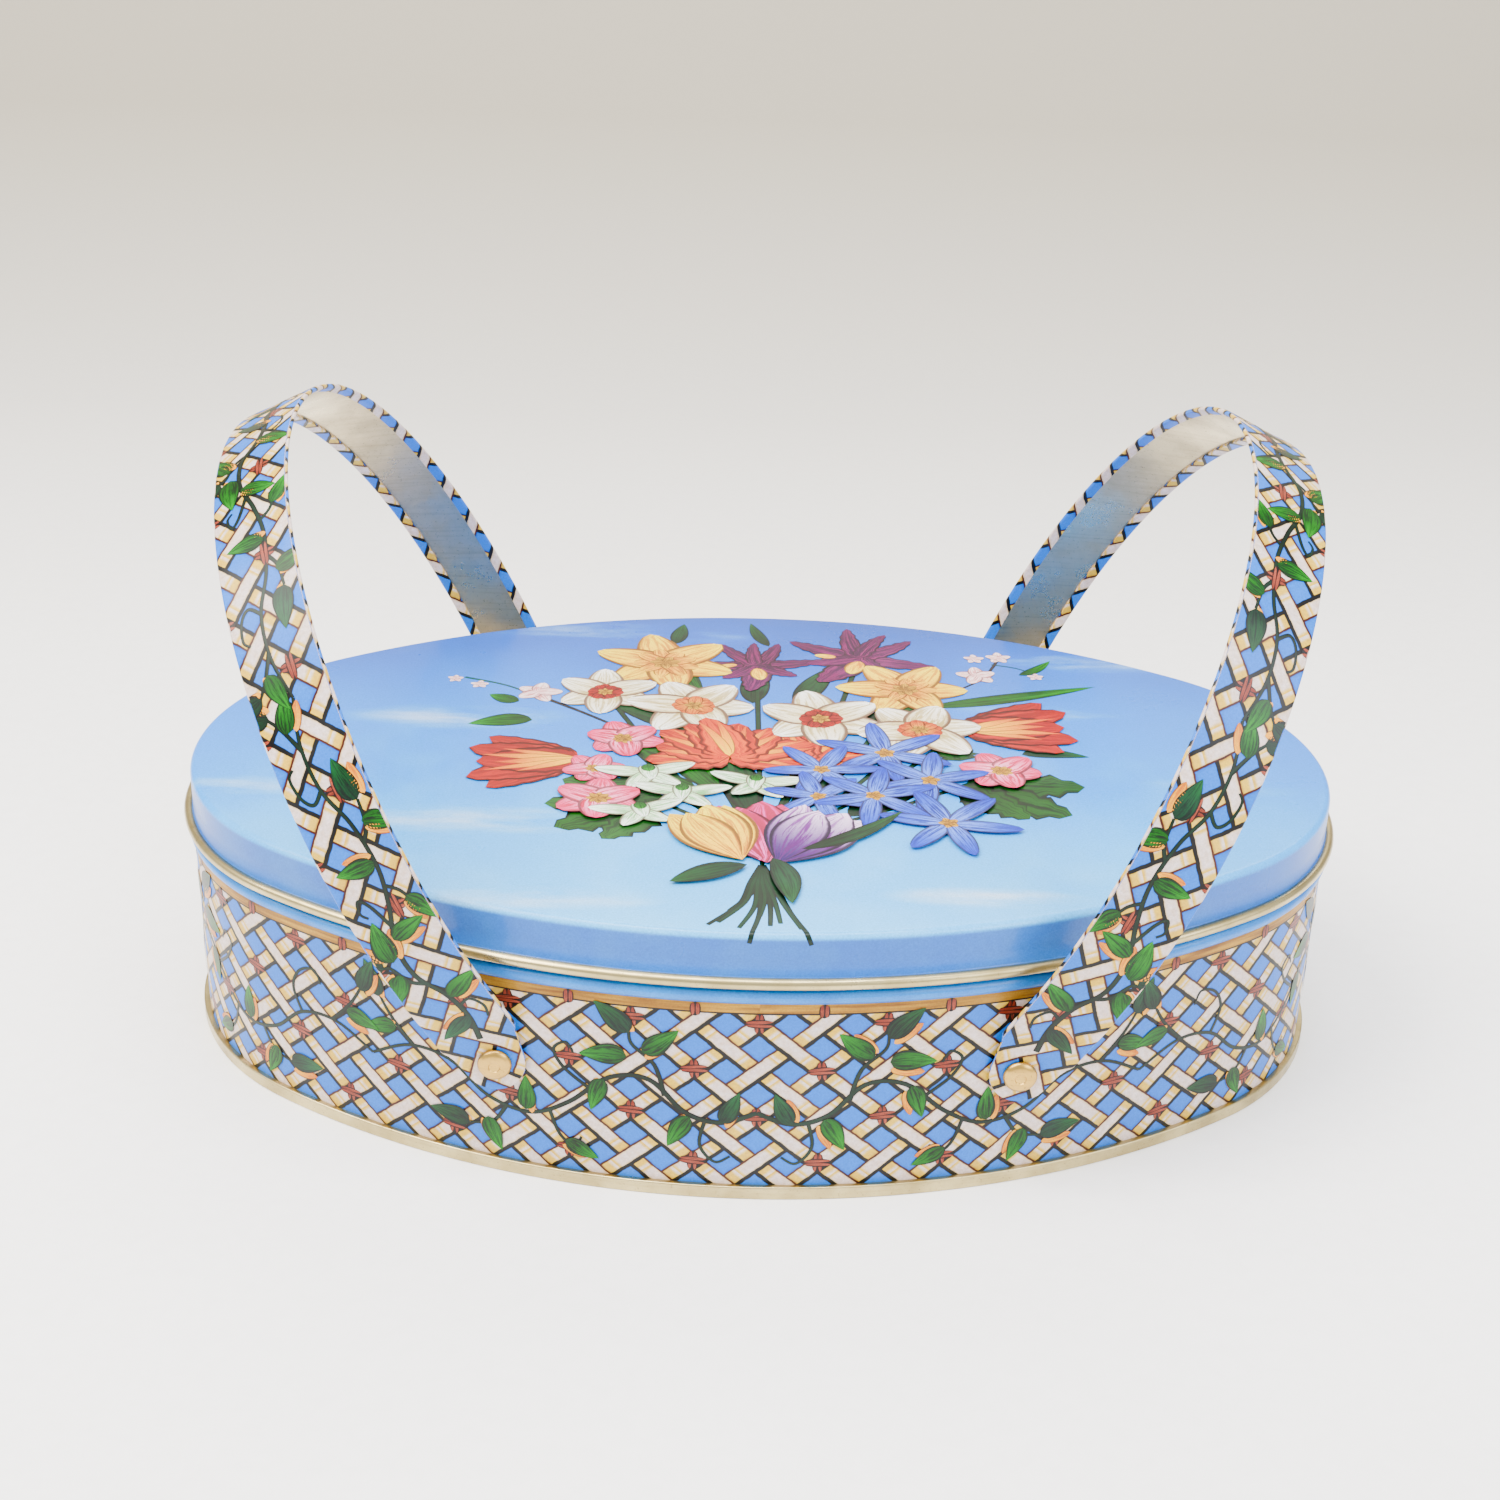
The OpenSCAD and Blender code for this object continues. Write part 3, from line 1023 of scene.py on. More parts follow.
# ---- tin, lid and seam


@dataclass
class Tin:
    """Printed wall with its bead and rolled rim, the seam and the base panel."""

    oval: Oval
    lattice: Material
    bead: Material
    inside: Material
    bare: Material
    wall_out: float = 0.2 * MM
    sheet: float = 0.4 * MM
    neck_out: float = -0.7 * MM
    bead_centre: Pair = (-0.35 * MM, 46.8 * MM)
    bead_radius: float = 1.45 * MM
    rim_centre: Pair = (-1.6 * MM, 59.3 * MM)
    rim_radius: float = 0.9 * MM
    bare_neck: float = 5 * MM
    foot: float = 1.2 * MM
    seam_out: float = 1.5 * MM
    seam_height: float = 2.9 * MM
    panel_top: float = 3.1 * MM

    def wall(self) -> Piece:
        """Builds the wall: outside, bead, neck, rolled rim and inside.

        Returns:
            The piece.
        """
        cx, cz = self.bead_centre
        turn = math.degrees(math.acos((self.wall_out - cx) / self.bead_radius))
        low = cz - self.bead_radius * math.sin(math.radians(turn))
        section = [(self.wall_out, self.foot + (low - self.foot) * i / 6, 0) for i in range(6)]
        section += [(x, z, 1) for x, z in arc((cx, cz), self.bead_radius, -turn, 90, 14)]
        section += [(self.neck_out, cz + self.bead_radius, 1)]
        section += [(self.neck_out, self.rim_centre[1] - self.bare_neck, 3)]
        section += [(x, z, 3) for x, z in arc(self.rim_centre, self.rim_radius, 0, 270, 14)]
        inner = self.rim_radius - self.sheet
        section += [(x, z, 3) for x, z in arc(self.rim_centre, inner, 270, 0, 8)]
        inside = self.wall_out - self.sheet
        section += [(self.neck_out - self.sheet, cz + self.bead_radius, 2)]
        section += [(inside, cz + self.bead_radius, 2)]
        section += [(inside, self.panel_top, 2), (inside, self.foot, 2)]
        draft = Draft()
        sweep(draft, self.oval, section)
        return draft.build("printed_wall", [self.lattice, self.bead, self.inside, self.bare])

    def seam(self) -> Piece:
        """Builds the double seam and the panel inside it.

        Returns:
            The piece.
        """
        out, high, top = self.seam_out, self.seam_height, self.panel_top
        soft = 0.35 * MM
        inner = self.wall_out - self.sheet - 0.06 * MM
        section = [(inner, top, 0), (inner, high - 0.1 * MM, 0), (self.wall_out, high - 0.15 * MM, 0)]
        section += [(x, z, 0) for x, z in arc((out - soft, high - soft), soft, 90, 0, 5)]
        section += [(out - 0.12 * MM, high * 0.5, 0)]
        section += [(x, z, 0) for x, z in arc((out - soft, soft), soft, 0, -90, 5)]
        section += [(inner - 0.2 * MM, 0.0, 0), (inner - self.sheet, 0.2 * MM, 0)]
        section += [(inner - self.sheet, top - self.sheet, 0)]
        draft = Draft()
        sweep(draft, self.oval, section, False, ((top, 0, 8), (top - self.sheet, 0, 8)))
        return draft.build("base_seam", [self.bare])

    def build(self) -> None:
        """Builds the pieces and lets them ride on the tin."""
        settle(self.wall(), "tin", "printed_wall", ["body_wall"])
        settle(self.seam(), "tin", "bare_tin", ["base_panel"])


@dataclass
class Lid:
    """Printed slip-over lid with a round corner and an outward curl."""

    oval: Oval
    sky: Material
    bare: Material
    inside: Material
    top: float
    corner: float = 1.5 * MM
    sheet: float = 0.4 * MM
    curl_centre: Pair = (0.8 * MM, 50.2 * MM)
    curl_radius: float = 1.2 * MM

    def build(self) -> None:
        """Builds the lid and lets it ride on its body."""
        cx, cz = self.curl_centre
        edge = (-self.corner, self.top - self.corner)
        section = [(x, z, 0) for x, z in arc(edge, self.corner, 90, 0, 10)]
        section += [(0.0, blend(edge[1], cz, share), 0) for share in (0.5, 0.86)]
        section += [(x, z, 1) for x, z in arc((cx, cz), self.curl_radius, 118, -180, 20)]
        section += [(-self.sheet, edge[1], 2)]
        section += [(x, z, 2) for x, z in arc(edge, self.corner - self.sheet, 0, 90, 6)]
        draft = Draft()
        sweep(draft, self.oval, section, False, ((self.top, 0, 14), (self.top - self.sheet, 2, 14)))
        piece = draft.build("printed_lid", [self.sky, self.bare, self.inside], 50.0)
        settle(piece, "lid", "printed_lid", ["lid"])


# ---- handles


@dataclass
class Strap:
    """Hemmed tin strap: round tabs, sloped legs and one round arch."""

    side: int
    hinge: Vector
    outer: Material
    bare: Material
    lean: float = math.radians(26)
    slope: float = math.radians(15)
    tab_out: float = 74.60 * MM
    tab_radius: float = 6.2 * MM
    kink: float = 3.5 * MM
    leg_height: float = 18.0 * MM
    half: float = 8.25 * MM
    plain_half: float = 7.45 * MM
    hem_width: float = 2.4 * MM
    hem_thickness: float = 1.0 * MM
    sheet: float = 0.4 * MM
    full_from: float = 5.5 * MM
    hem_from: float = 7.0 * MM
    hem_fade: float = 0.8 * MM
    kink_soft: float = 0.3 * MM
    drop: float = 0.16 * MM

    @property
    def name(self) -> str:
        """Name of the body and CAD node."""
        return "handle_right" if self.side > 0 else "handle_left"

    @property
    def leg_run(self) -> float:
        """Length of the sloped leg."""
        return (self.leg_height - self.kink) / math.cos(self.slope)

    @property
    def radius(self) -> float:
        """Outer radius of the arch."""
        return (self.tab_out + self.leg_run * math.sin(self.slope)) / math.cos(self.slope)

    @property
    def length(self) -> float:
        """Length of the strap from tip to tip."""
        sweep_angle = math.pi / 2 + self.slope
        return 2 * (self.tab_radius + self.kink + self.leg_run + self.radius * sweep_angle)

    def place(self, along: float, across: float, lift: float) -> Vector:
        """A point over the strap's outer face.

        Args:
            along: Distance from the front tip.
            across: Distance from the strap's middle line, away from the tin's middle.
            lift: Distance outwards from the face.

        Returns:
            The point, with the handle at rest.
        """
        back = 1.0 if along > self.length / 2 else -1.0
        run = min(along, self.length - along)
        lift -= self.drop
        upright = self.tab_radius + self.kink
        if run < upright:
            y, z, out_y, out_z = self.tab_out, run - self.tab_radius, 1.0, 0.0
        elif run < upright + self.leg_run:
            far = run - upright
            y = self.tab_out + far * math.sin(self.slope)
            z = self.kink + far * math.cos(self.slope)
            out_y, out_z = math.cos(self.slope), -math.sin(self.slope)
        else:
            turn = (run - upright - self.leg_run) / self.radius - self.slope
            out_y, out_z = math.cos(turn), math.sin(turn)
            y = self.radius * out_y
            z = self.leg_height + self.radius * math.sin(self.slope) + self.radius * out_z
        y, z = back * (y + out_y * lift), z + out_z * lift
        x = across * math.cos(self.lean) + z * math.sin(self.lean)
        z = z * math.cos(self.lean) - across * math.sin(self.lean)
        return Vector((self.side * (abs(self.hinge.x) + x), y, self.hinge.z + z))

    def half_at(self, run: float) -> float:
        """Half the strap's width at a distance from the nearer tip.

        Args:
            run: The distance.

        Returns:
            Half the width.
        """
        if run <= self.tab_radius:
            return math.sqrt(max(0.0, self.tab_radius ** 2 - (self.tab_radius - run) ** 2))
        wide_from = self.tab_radius + self.full_from
        if run < wide_from:
            return blend(self.tab_radius, self.plain_half, (run - self.tab_radius) / self.full_from)
        share = min(1.0, (run - wide_from) / (self.hem_from - self.full_from))
        return blend(self.plain_half, self.half, share)

    def hem_at(self, run: float) -> float:
        """How far the hem is folded at a distance from the nearer tip, 0 to 1."""
        start = self.tab_radius + self.hem_from - self.hem_fade
        return max(0.0, min(1.0, (run - start) / self.hem_fade))

    def section(self, half: float, hem: float) -> list[tuple[float, float, int]]:
        """Section across the strap: place across, lift and finish of each point.

        Args:
            half: Half the strap's width.
            hem: How far the hem is folded.

        Returns:
            The points.
        """
        roll = (self.sheet + (self.hem_thickness - self.sheet) * hem) / 2
        roll_x = max(half - roll, half * 0.6)
        wide = roll_x + roll if half > roll else half
        inner = max(wide - self.hem_width, wide * 0.5)
        flat = [(blend(-roll_x, roll_x, i / 8), 0.0, 0) for i in range(9)]
        curve = [(roll_x + (wide - roll_x) * math.sin(a), -roll + roll * math.cos(a), 0)
                 for a in (math.pi * i / 8 for i in range(1, 8))]
        under = [(roll_x, -2 * roll, 0), (inner + 0.1 * MM, -2 * roll, 0),
                 (inner, -2 * roll + 0.1 * MM * hem, 0), (inner, -self.sheet, 1)]
        mirrored = [(-x, z, 0) for x, z, _ in reversed(curve)]
        back = [(-x, z, 0) for x, z, _ in reversed(under)]
        return flat + curve + under + back + mirrored

    def runs(self) -> list[float]:
        """Distances from the front tip at which the strap has its rows.

        Returns:
            The distances.
        """
        tip = [self.tab_radius * (1 - math.cos(math.radians(a))) for a in (0, 6, 14, 24, 36, 50, 66, 82)]
        upright = self.tab_radius + self.kink
        leg = [self.tab_radius + 1.5 * MM, upright - self.kink_soft, upright + self.kink_soft]
        leg += [self.tab_radius + self.full_from]
        hem = [self.tab_radius + self.hem_from - self.hem_fade, self.tab_radius + self.hem_from]
        steps = 70
        arch_from = upright + self.leg_run
        rest = [hem[-1] + (arch_from - hem[-1]) * i / 4 for i in range(1, 4)]
        arch = [blend(arch_from, self.length / 2, i / steps) for i in range(steps)]
        half = tip + leg + hem + rest + arch
        return half + [self.length / 2] + [self.length - run for run in reversed(half)]

    def build(self) -> None:
        """Builds the strap and lets it ride on its handle."""
        rows: list[list[Vector]] = []
        maps: list[list[Pair]] = []
        zones: list[int] = []
        for along in self.runs():
            run = min(along, self.length - along)
            points = self.section(self.half_at(run), self.hem_at(run))
            rows.append([self.place(along, x, z) for x, z, _ in points])
            coords: list[Pair] = []
            spread = points[0][0]
            for index, (x, z, _) in enumerate(points):
                if index:
                    spread += math.hypot(x - points[index - 1][0], z - points[index - 1][1])
                coords.append((along, spread))
            maps.append(coords)
            zones = [zone for _, _, zone in points]
        draft = Draft()
        draft.grid(rows, maps, zones, False, True)
        piece = draft.build("strap_" + self.name.split("_")[1], [self.outer, self.bare], 30.0)
        settle(piece, self.name, "printed_strap", [self.name])


# ---- geometry nodes


class Recipe:
    """A Geometry Nodes tree with named inputs, applied to plain meshes."""

    def __init__(self, name: str, inputs: Sequence[tuple[str, str, object]]) -> None:
        """Starts a tree.

        Args:
            name: The tree's name.
            inputs: Name, socket type and default of each input after the geometry.
        """
        self.tree = bpy.data.node_groups.new(name, "GeometryNodeTree")
        self.tree.interface.new_socket("Geometry", in_out="INPUT", socket_type="NodeSocketGeometry")
        for label, kind, default in inputs:
            socket = self.tree.interface.new_socket(label, in_out="INPUT", socket_type=kind)
            if default is not None:
                socket.default_value = default
        self.tree.interface.new_socket("Geometry", in_out="OUTPUT", socket_type="NodeSocketGeometry")
        self.sheet = NodeSheet(self.tree)
        self.given = self.sheet.node("NodeGroupInput").outputs
        self.result = self.sheet.node("NodeGroupOutput").inputs[0]

    def named(self, name: str, kind: str = "FLOAT") -> Socket:
        """Reads a named attribute.

        Args:
            name: Its name.
            kind: Its data type.

        Returns:
            The attribute's socket.
        """
        made = self.sheet.node("GeometryNodeInputNamedAttribute", data_type=kind)
        made.inputs["Name"].default_value = name
        return made.outputs["Attribute"]

    def finish(self, geometry: Socket) -> None:
        """Ends the tree with the material that its input names.

        Args:
            geometry: The finished geometry.
        """
        dressed = self.sheet.node("GeometryNodeSetMaterial")
        self.sheet.feed(dressed.inputs["Geometry"], geometry)
        self.sheet.feed(dressed.inputs["Material"], self.given["Material"])
        self.sheet.feed(self.result, dressed.outputs[0])

    def apply(self, source: Piece, name: str, **values: object) -> Piece:
        """Runs the tree on an object and keeps the result as a plain mesh.

        Args:
            source: The object that holds the points; it is removed.
            name: The new piece's name.
            values: The tree's inputs, named with _ for spaces.

        Returns:
            The new object.
        """
        modifier = source.modifiers.new("recipe", "NODES")
        modifier.node_group = self.tree
        for item in self.tree.interface.items_tree:
            label = item.name.replace(" ", "_")
            if item.item_type == "SOCKET" and item.in_out == "INPUT" and label in values:
                modifier[item.identifier] = values[label]
        bpy.context.view_layer.update()
        evaluated = source.evaluated_get(bpy.context.evaluated_depsgraph_get())
        mesh = bpy.data.meshes.new_from_object(evaluated)
        source.modifiers.remove(modifier)
        bpy.data.objects.remove(source)
        mesh.name = name
        return add_object(name, mesh)


def point_cloud(name: str, places: Sequence[Vector]) -> Piece:
    """Makes an object whose mesh is loose points.

    Args:
        name: Its name.
        places: The points.

    Returns:
        The object.
    """
    mesh = bpy.data.meshes.new(name)
    mesh.from_pydata([tuple(p) for p in places], [], [])
    return add_object(name, mesh)


# Profile of a button: underside from the axis to the edge, over the dome, and into the dimple.
BUTTON_RADIUS = ((0.0, 0.0), (0.1, 0.94), (0.16, 1.0), (0.22, 1.0), (0.45, 0.82), (0.62, 0.58),
                 (0.74, 0.40), (0.79, 0.34), (0.84, 0.29), (1.0, 0.0))
BUTTON_HEIGHT = ((0.0, 0.0), (0.1, 0.0), (0.16, 0.08), (0.22, 0.26), (0.45, 0.74), (0.62, 0.93),
                 (0.74, 0.995), (0.79, 0.97), (0.84, 0.85), (1.0, 0.8))


def make_turned_recipe() -> Recipe:
    """Builds turned buttons: a profile spun round its axis, set on every point.

    Radius and height of the profile are curves of the distance along it. The
    button's axis is +Y, turned round Z by each point's attribute facing.
    """
    recipe = Recipe("turned_buttons", [("Radius", FLOAT, 0.0034), ("Height", FLOAT, 0.0015),
                                       ("Material", "NodeSocketMaterial", None)])
    sheet, given = recipe.sheet, recipe.given
    grid = sheet.node("GeometryNodeMeshGrid")
    for label, value in (("Size X", 1.0), ("Size Y", 1.0), ("Vertices X", 49), ("Vertices Y", 30)):
        grid.inputs[label].default_value = value
    x, y, _ = sheet.split(sheet.node("GeometryNodeInputPosition").outputs[0])
    turn = sheet.mul(x, 2 * math.pi)
    run = sheet.add(y, 0.5)
    radius = sheet.node("ShaderNodeFloatCurve")
    height = sheet.node("ShaderNodeFloatCurve")
    for node, shape in ((radius, BUTTON_RADIUS), (height, BUTTON_HEIGHT)):
        curve = node.mapping.curves[0]
        curve.points[0].location = shape[0]
        curve.points[1].location = shape[-1]
        for where, value in shape[1:-1]:
            curve.points.new(where, value)
        node.mapping.update()
        sheet.feed(node.inputs["Value"], run)
    r = sheet.mul(radius.outputs[0], given["Radius"])
    h = sheet.mul(height.outputs[0], given["Height"])
    spun = sheet.node("GeometryNodeSetPosition")
    sheet.feed(spun.inputs["Geometry"], grid.outputs["Mesh"])
    sheet.feed(spun.inputs["Position"], sheet.join(
        sheet.mul(r, sheet.math("COSINE", turn)), h,
        sheet.mul(r, sheet.math("SINE", turn))))
    merged = sheet.node("GeometryNodeMergeByDistance")
    sheet.feed(merged.inputs["Geometry"], spun.outputs[0])
    merged.inputs["Distance"].default_value = 1e-7
    placed = sheet.node("GeometryNodeInstanceOnPoints")
    sheet.feed(placed.inputs["Points"], given["Geometry"])
    sheet.feed(placed.inputs["Instance"], merged.outputs[0])
    sheet.feed(placed.inputs["Rotation"], sheet.join(0.0, 0.0, recipe.named("facing")))
    real = sheet.node("GeometryNodeRealizeInstances")
    sheet.feed(real.inputs[0], placed.outputs[0])
    smooth = sheet.node("GeometryNodeSetShadeSmooth")
    sheet.feed(smooth.inputs["Geometry"], real.outputs[0])
    recipe.finish(smooth.outputs[0])
    return recipe


def outward(piece: Piece, angle: float = 40.0) -> None:
    """Makes the faces of closed shells point out and sets which edges stay sharp.

    Args:
        piece: The piece.
        angle: Edges sharper than this, in degrees, stay sharp.
    """
    clean_mesh(piece.data, 1e-8, 1e-9)
    piece.data.set_sharp_from_angle(angle=math.radians(angle))


@dataclass
class Rivets:
    """Domed rivet heads with a plain dimple, and the round pads under the straps."""

    brass: Material
    lacquer: Material
    head_radius: float = 3.4 * MM
    head_height: float = 1.5 * MM
    tail_radius: float = 2.5 * MM
    tail_height: float = 0.9 * MM
    pad_radius: float = 5.0 * MM
    pad_height: float = 2.6 * MM
    pad_gap: float = 0.6 * MM
    nodes: tuple[str, ...] = ("rivet_front_left", "rivet_front_right", "rivet_back_left", "rivet_back_right")

    def spots(self, depth: float, inner: bool = False) -> Piece:
        """Points on the four rivet axes, each at a depth from the head's top or from the inner end.

        Args:
            depth: The depth.
            inner: Whether it counts from the inner end.

        Returns:
            The points as an object.
        """
        places, facing = [], []
        for node in self.nodes:
            low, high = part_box(node)
            lower = (low.y < 0) != inner
            y = low.y + depth if lower else high.y - depth
            places.append(Vector(((low.x + high.x) / 2, y, (low.z + high.z) / 2)))
            facing.append(math.pi if lower else 0.0)
        cloud = point_cloud("rivet_spots", places)
        cloud.data.attributes.new("facing", "FLOAT", "POINT").data.foreach_set("value", facing)
        return cloud

    def build(self) -> None:
        """Builds heads and pads on the tin."""
        recipe = make_turned_recipe()
        heads = recipe.apply(self.spots(self.head_height), "rivet_heads", Radius=self.head_radius,
                             Height=self.head_height, Material=self.brass)
        outward(heads, 32.0)
        settle(heads, "tin", "brass", self.nodes)
        tails = recipe.apply(self.spots(self.tail_height, True), "rivet_tails", Radius=self.tail_radius,
                             Height=self.tail_height, Material=self.brass)
        outward(tails, 32.0)
        settle(tails, "tin", "brass")
        pad_depth = self.head_height + self.pad_gap + self.pad_height
        pads = recipe.apply(self.spots(pad_depth), "strap_pads", Radius=self.pad_radius,
                            Height=self.pad_height, Material=self.lacquer)
        outward(pads)
        settle(pads, "tin", "printed_wall")


# ---- printed flowers and leaves


@dataclass(frozen=True)
class Ink:
    """Three colours of one printed shape: its foot, its tip and its veins."""

    base: Colour
    tip: Colour
    vein: Colour

    @staticmethod
    def of(base: str, tip: str, vein: str) -> "Ink":
        """Makes an ink from three colour codes."""
        return Ink(srgb(base), srgb(tip), srgb(vein))


LEAF = Ink.of("2a7a30", "58b048", "0a3418")
DEEP_LEAF = Ink.of("1c5640", "3a8458", "082a20")
GREY_LEAF = Ink.of("38683a", "588c50", "183420")
VINE = Ink.of("1f4a34", "2c5e42", "07201a")
BLUSH = Ink.of("ecb828", "d0841c", "f4d478")
TWINE = Ink.of("cc9686", "ac7264", "683628")
TWINE_LINE = Ink.of("3a1810", "3a1810", "1c0a06")
TWIG = Ink.of("4a3a34", "6a4a3e", "241a18")
YELLOW = Ink.of("ffd800", "fff000", "d89c00")
GOLD = Ink.of("f4b800", "ffde10", "b87808")
WHITE = Ink.of("efe6cc", "ffffff", "cbbf9c")
SNOW = Ink.of("e6f2dc", "ffffff", "9fc49a")
RED = Ink.of("a00806", "b8140e", "d8543c")
FLASH = Ink.of("ffe62e", "d84410", "ffc020")
FLAME = Ink.of("d85a10", "b41206", "f08a1c")
PLUM = Ink.of("541052", "7a2472", "a85890")
PINK = Ink.of("ffd8e4", "f290b4", "d0487c")
MAGENTA = Ink.of("b0186a", "d0408c", "f4b0d8")
LILAC = Ink.of("4c1478", "fbeefc", "8a1c94")
BLUE_STAR = Ink.of("b4c8f8", "6688dc", "3450a4")
OLIVE = Ink.of("c9a21a", "f0d04a", "7a5a10")


@dataclass(frozen=True)
class Petal:
    """One printed shape, drawn flat: its start, direction and outline, in millimetres and degrees."""

    x: float
    y: float
    turn: float
    reach: float
    breadth: float
    ink: Ink
    fullness: float = 0.8
    pinch: float = 0.6
    bend: float = 0.0
    teeth: float = 0.0


@dataclass(frozen=True)
class Stem:
    """One printed stem, drawn flat through a few points, with its thickness in millimetres."""

    points: tuple[Pair, ...]
    thick: float
    ink: Ink = VINE
    steps: int = 7

    def smooth(self) -> list[Pair]:
        """Points along a smooth curve through the stem's own points.

        Returns:
            The points.
        """
        pts = [self.points[0], *self.points, self.points[-1]]
        found: list[Pair] = []
        for a, b, c, d in zip(pts, pts[1:], pts[2:], pts[3:]):
            for i in range(self.steps):
                t = i / self.steps
                found.append(tuple(0.5 * (2 * q + (r - p) * t + (2 * p - 5 * q + 4 * r - s) * t * t
                                          + (3 * q - p - 3 * r + s) * t ** 3)
                                   for p, q, r, s in zip(a, b, c, d)))
        return found + [self.points[-1]]


@dataclass(frozen=True)
class StrapFace:
    """Outside of a strap; what would stand past its edges is cut off there."""

    strap: Strap
    margin: float = 0.45 * MM

    def place(self, along: float, across: float, lift: float) -> Vector:
        """A point over the strap."""
        run = min(along, self.strap.length - along)
        edge = max(0.0, self.strap.half_at(run) - self.margin)
        return self.strap.place(along, max(-edge, min(edge, across)), lift)


class Surface(Protocol):
    """Anything that a flat drawing can be laid on."""

    def place(self, along: float, across: float, lift: float) -> Vector:
        """A point over the surface."""


@dataclass(frozen=True)
class WallFace:
    """Outside of the wall, measured round the oval and up from the base."""

    oval: Oval
    wall_out: float = 0.2 * MM

    def place(self, along: float, across: float, lift: float) -> Vector:
        """A point over the wall."""
        return self.oval.place(along, across, self.wall_out + lift)


@dataclass(frozen=True)
class LidFace:
    """Top of the lid, measured along X and Y, folding down over its rim."""

    oval: Oval
    top: float
    corner: float = 1.5 * MM

    def place(self, along: float, across: float, lift: float) -> Vector:
        """A point over the lid."""
        side_radius = self.oval.half_width + self.oval.side_shift
        centre_y = self.oval.side_shift if across < 0 else -self.oval.side_shift
        reach = Vector((along, across - centre_y))
        past = reach.length - (side_radius - self.corner)
        if past <= 0:
            return Vector((along, across, self.top + lift))
        turn = min(past / self.corner, math.pi / 2)
        down = max(0.0, past - self.corner * math.pi / 2)
        flat = side_radius - self.corner + (self.corner + lift) * math.sin(turn)
        spot = reach.normalized() * flat
        height = self.top - self.corner + (self.corner + lift) * math.cos(turn) - down
        return Vector((spot.x, centre_y + spot.y, height))


def make_petal_recipe() -> Recipe:
    """Builds flat petals and leaves: a small grid on every point, shaped by the point's attributes.

    Returns:
        The recipe.
    """
    recipe = Recipe("printed_petals", [("Columns", "NodeSocketInt", 7), ("Rows", "NodeSocketInt", 13),
                                       ("Tooth Count", FLOAT, 7.0), ("Material", "NodeSocketMaterial", None)])
    sheet, given = recipe.sheet, recipe.given

    def store(geometry: Socket, name: str, value: Socket) -> Socket:
        """Keeps a vector on the points under a name.

        Args:
            geometry: The points.
            name: The name.
            value: The vector.

        Returns:
            The geometry with it.
        """
        made = sheet.node("GeometryNodeStoreNamedAttribute", data_type="FLOAT_VECTOR", domain="POINT")
        sheet.feed(made.inputs["Geometry"], geometry)
        made.inputs["Name"].default_value = name
        sheet.feed(made.inputs["Value"], value)
        return made.outputs[0]

    rooted = store(given["Geometry"], "root", sheet.node("GeometryNodeInputPosition").outputs[0])
    grid = sheet.node("GeometryNodeMeshGrid")
    grid.inputs["Size X"].default_value = 1.0
    grid.inputs["Size Y"].default_value = 1.0
    sheet.feed(grid.inputs["Vertices X"], given["Columns"])
    sheet.feed(grid.inputs["Vertices Y"], given["Rows"])
    gx, gy, _ = sheet.split(sheet.node("GeometryNodeInputPosition").outputs[0])
    leaf = store(grid.outputs["Mesh"], "petal", sheet.join(
        sheet.mul(gx, 2.0), sheet.add(gy, 0.5), 0.0))
    placed = sheet.node("GeometryNodeInstanceOnPoints")
    sheet.feed(placed.inputs["Points"], rooted)
    sheet.feed(placed.inputs["Instance"], leaf)
    real = sheet.node("GeometryNodeRealizeInstances")
    sheet.feed(real.inputs[0], placed.outputs[0])
    across, along, _ = sheet.split(recipe.named("petal", "FLOAT_VECTOR"))
    safe = sheet.math("MAXIMUM", along, 0.0)
    swell = sheet.math("SINE", sheet.mul(sheet.math("POWER", safe, recipe.named("fullness")), math.pi))
    width = sheet.math("POWER", sheet.math("MAXIMUM", swell, 0.0), recipe.named("pinch"))
    width = sheet.mul(width, recipe.named("breadth"))
    wave = sheet.math("SINE", sheet.mul(sheet.mul(along, given["Tooth Count"]), 2 * math.pi))
    width = sheet.mul(width, sheet.add(1.0, sheet.mul(wave, recipe.named("teeth"))))
    reach = recipe.named("reach")
    bow = sheet.mul(sheet.mul(recipe.named("bend"), reach), sheet.math("POWER", safe, 2.0))
    x = sheet.add(sheet.mul(across, width), bow)
    y = sheet.mul(along, reach)
    cosine = sheet.math("COSINE", recipe.named("turn"))
    sine = sheet.math("SINE", recipe.named("turn"))
    turned = sheet.join(
        sheet.sub(sheet.mul(x, cosine), sheet.mul(y, sine)),
        sheet.add(sheet.mul(x, sine), sheet.mul(y, cosine)), 0.0)
    shaped = sheet.node("GeometryNodeSetPosition")
    sheet.feed(shaped.inputs["Geometry"], real.outputs[0])
    sheet.feed(shaped.inputs["Position"], sheet.vector("ADD", recipe.named("root", "FLOAT_VECTOR"), turned))
    seeded = store(shaped.outputs[0], "petal", sheet.join(across, along, recipe.named("seed")))
    recipe.finish(seeded)
    return recipe


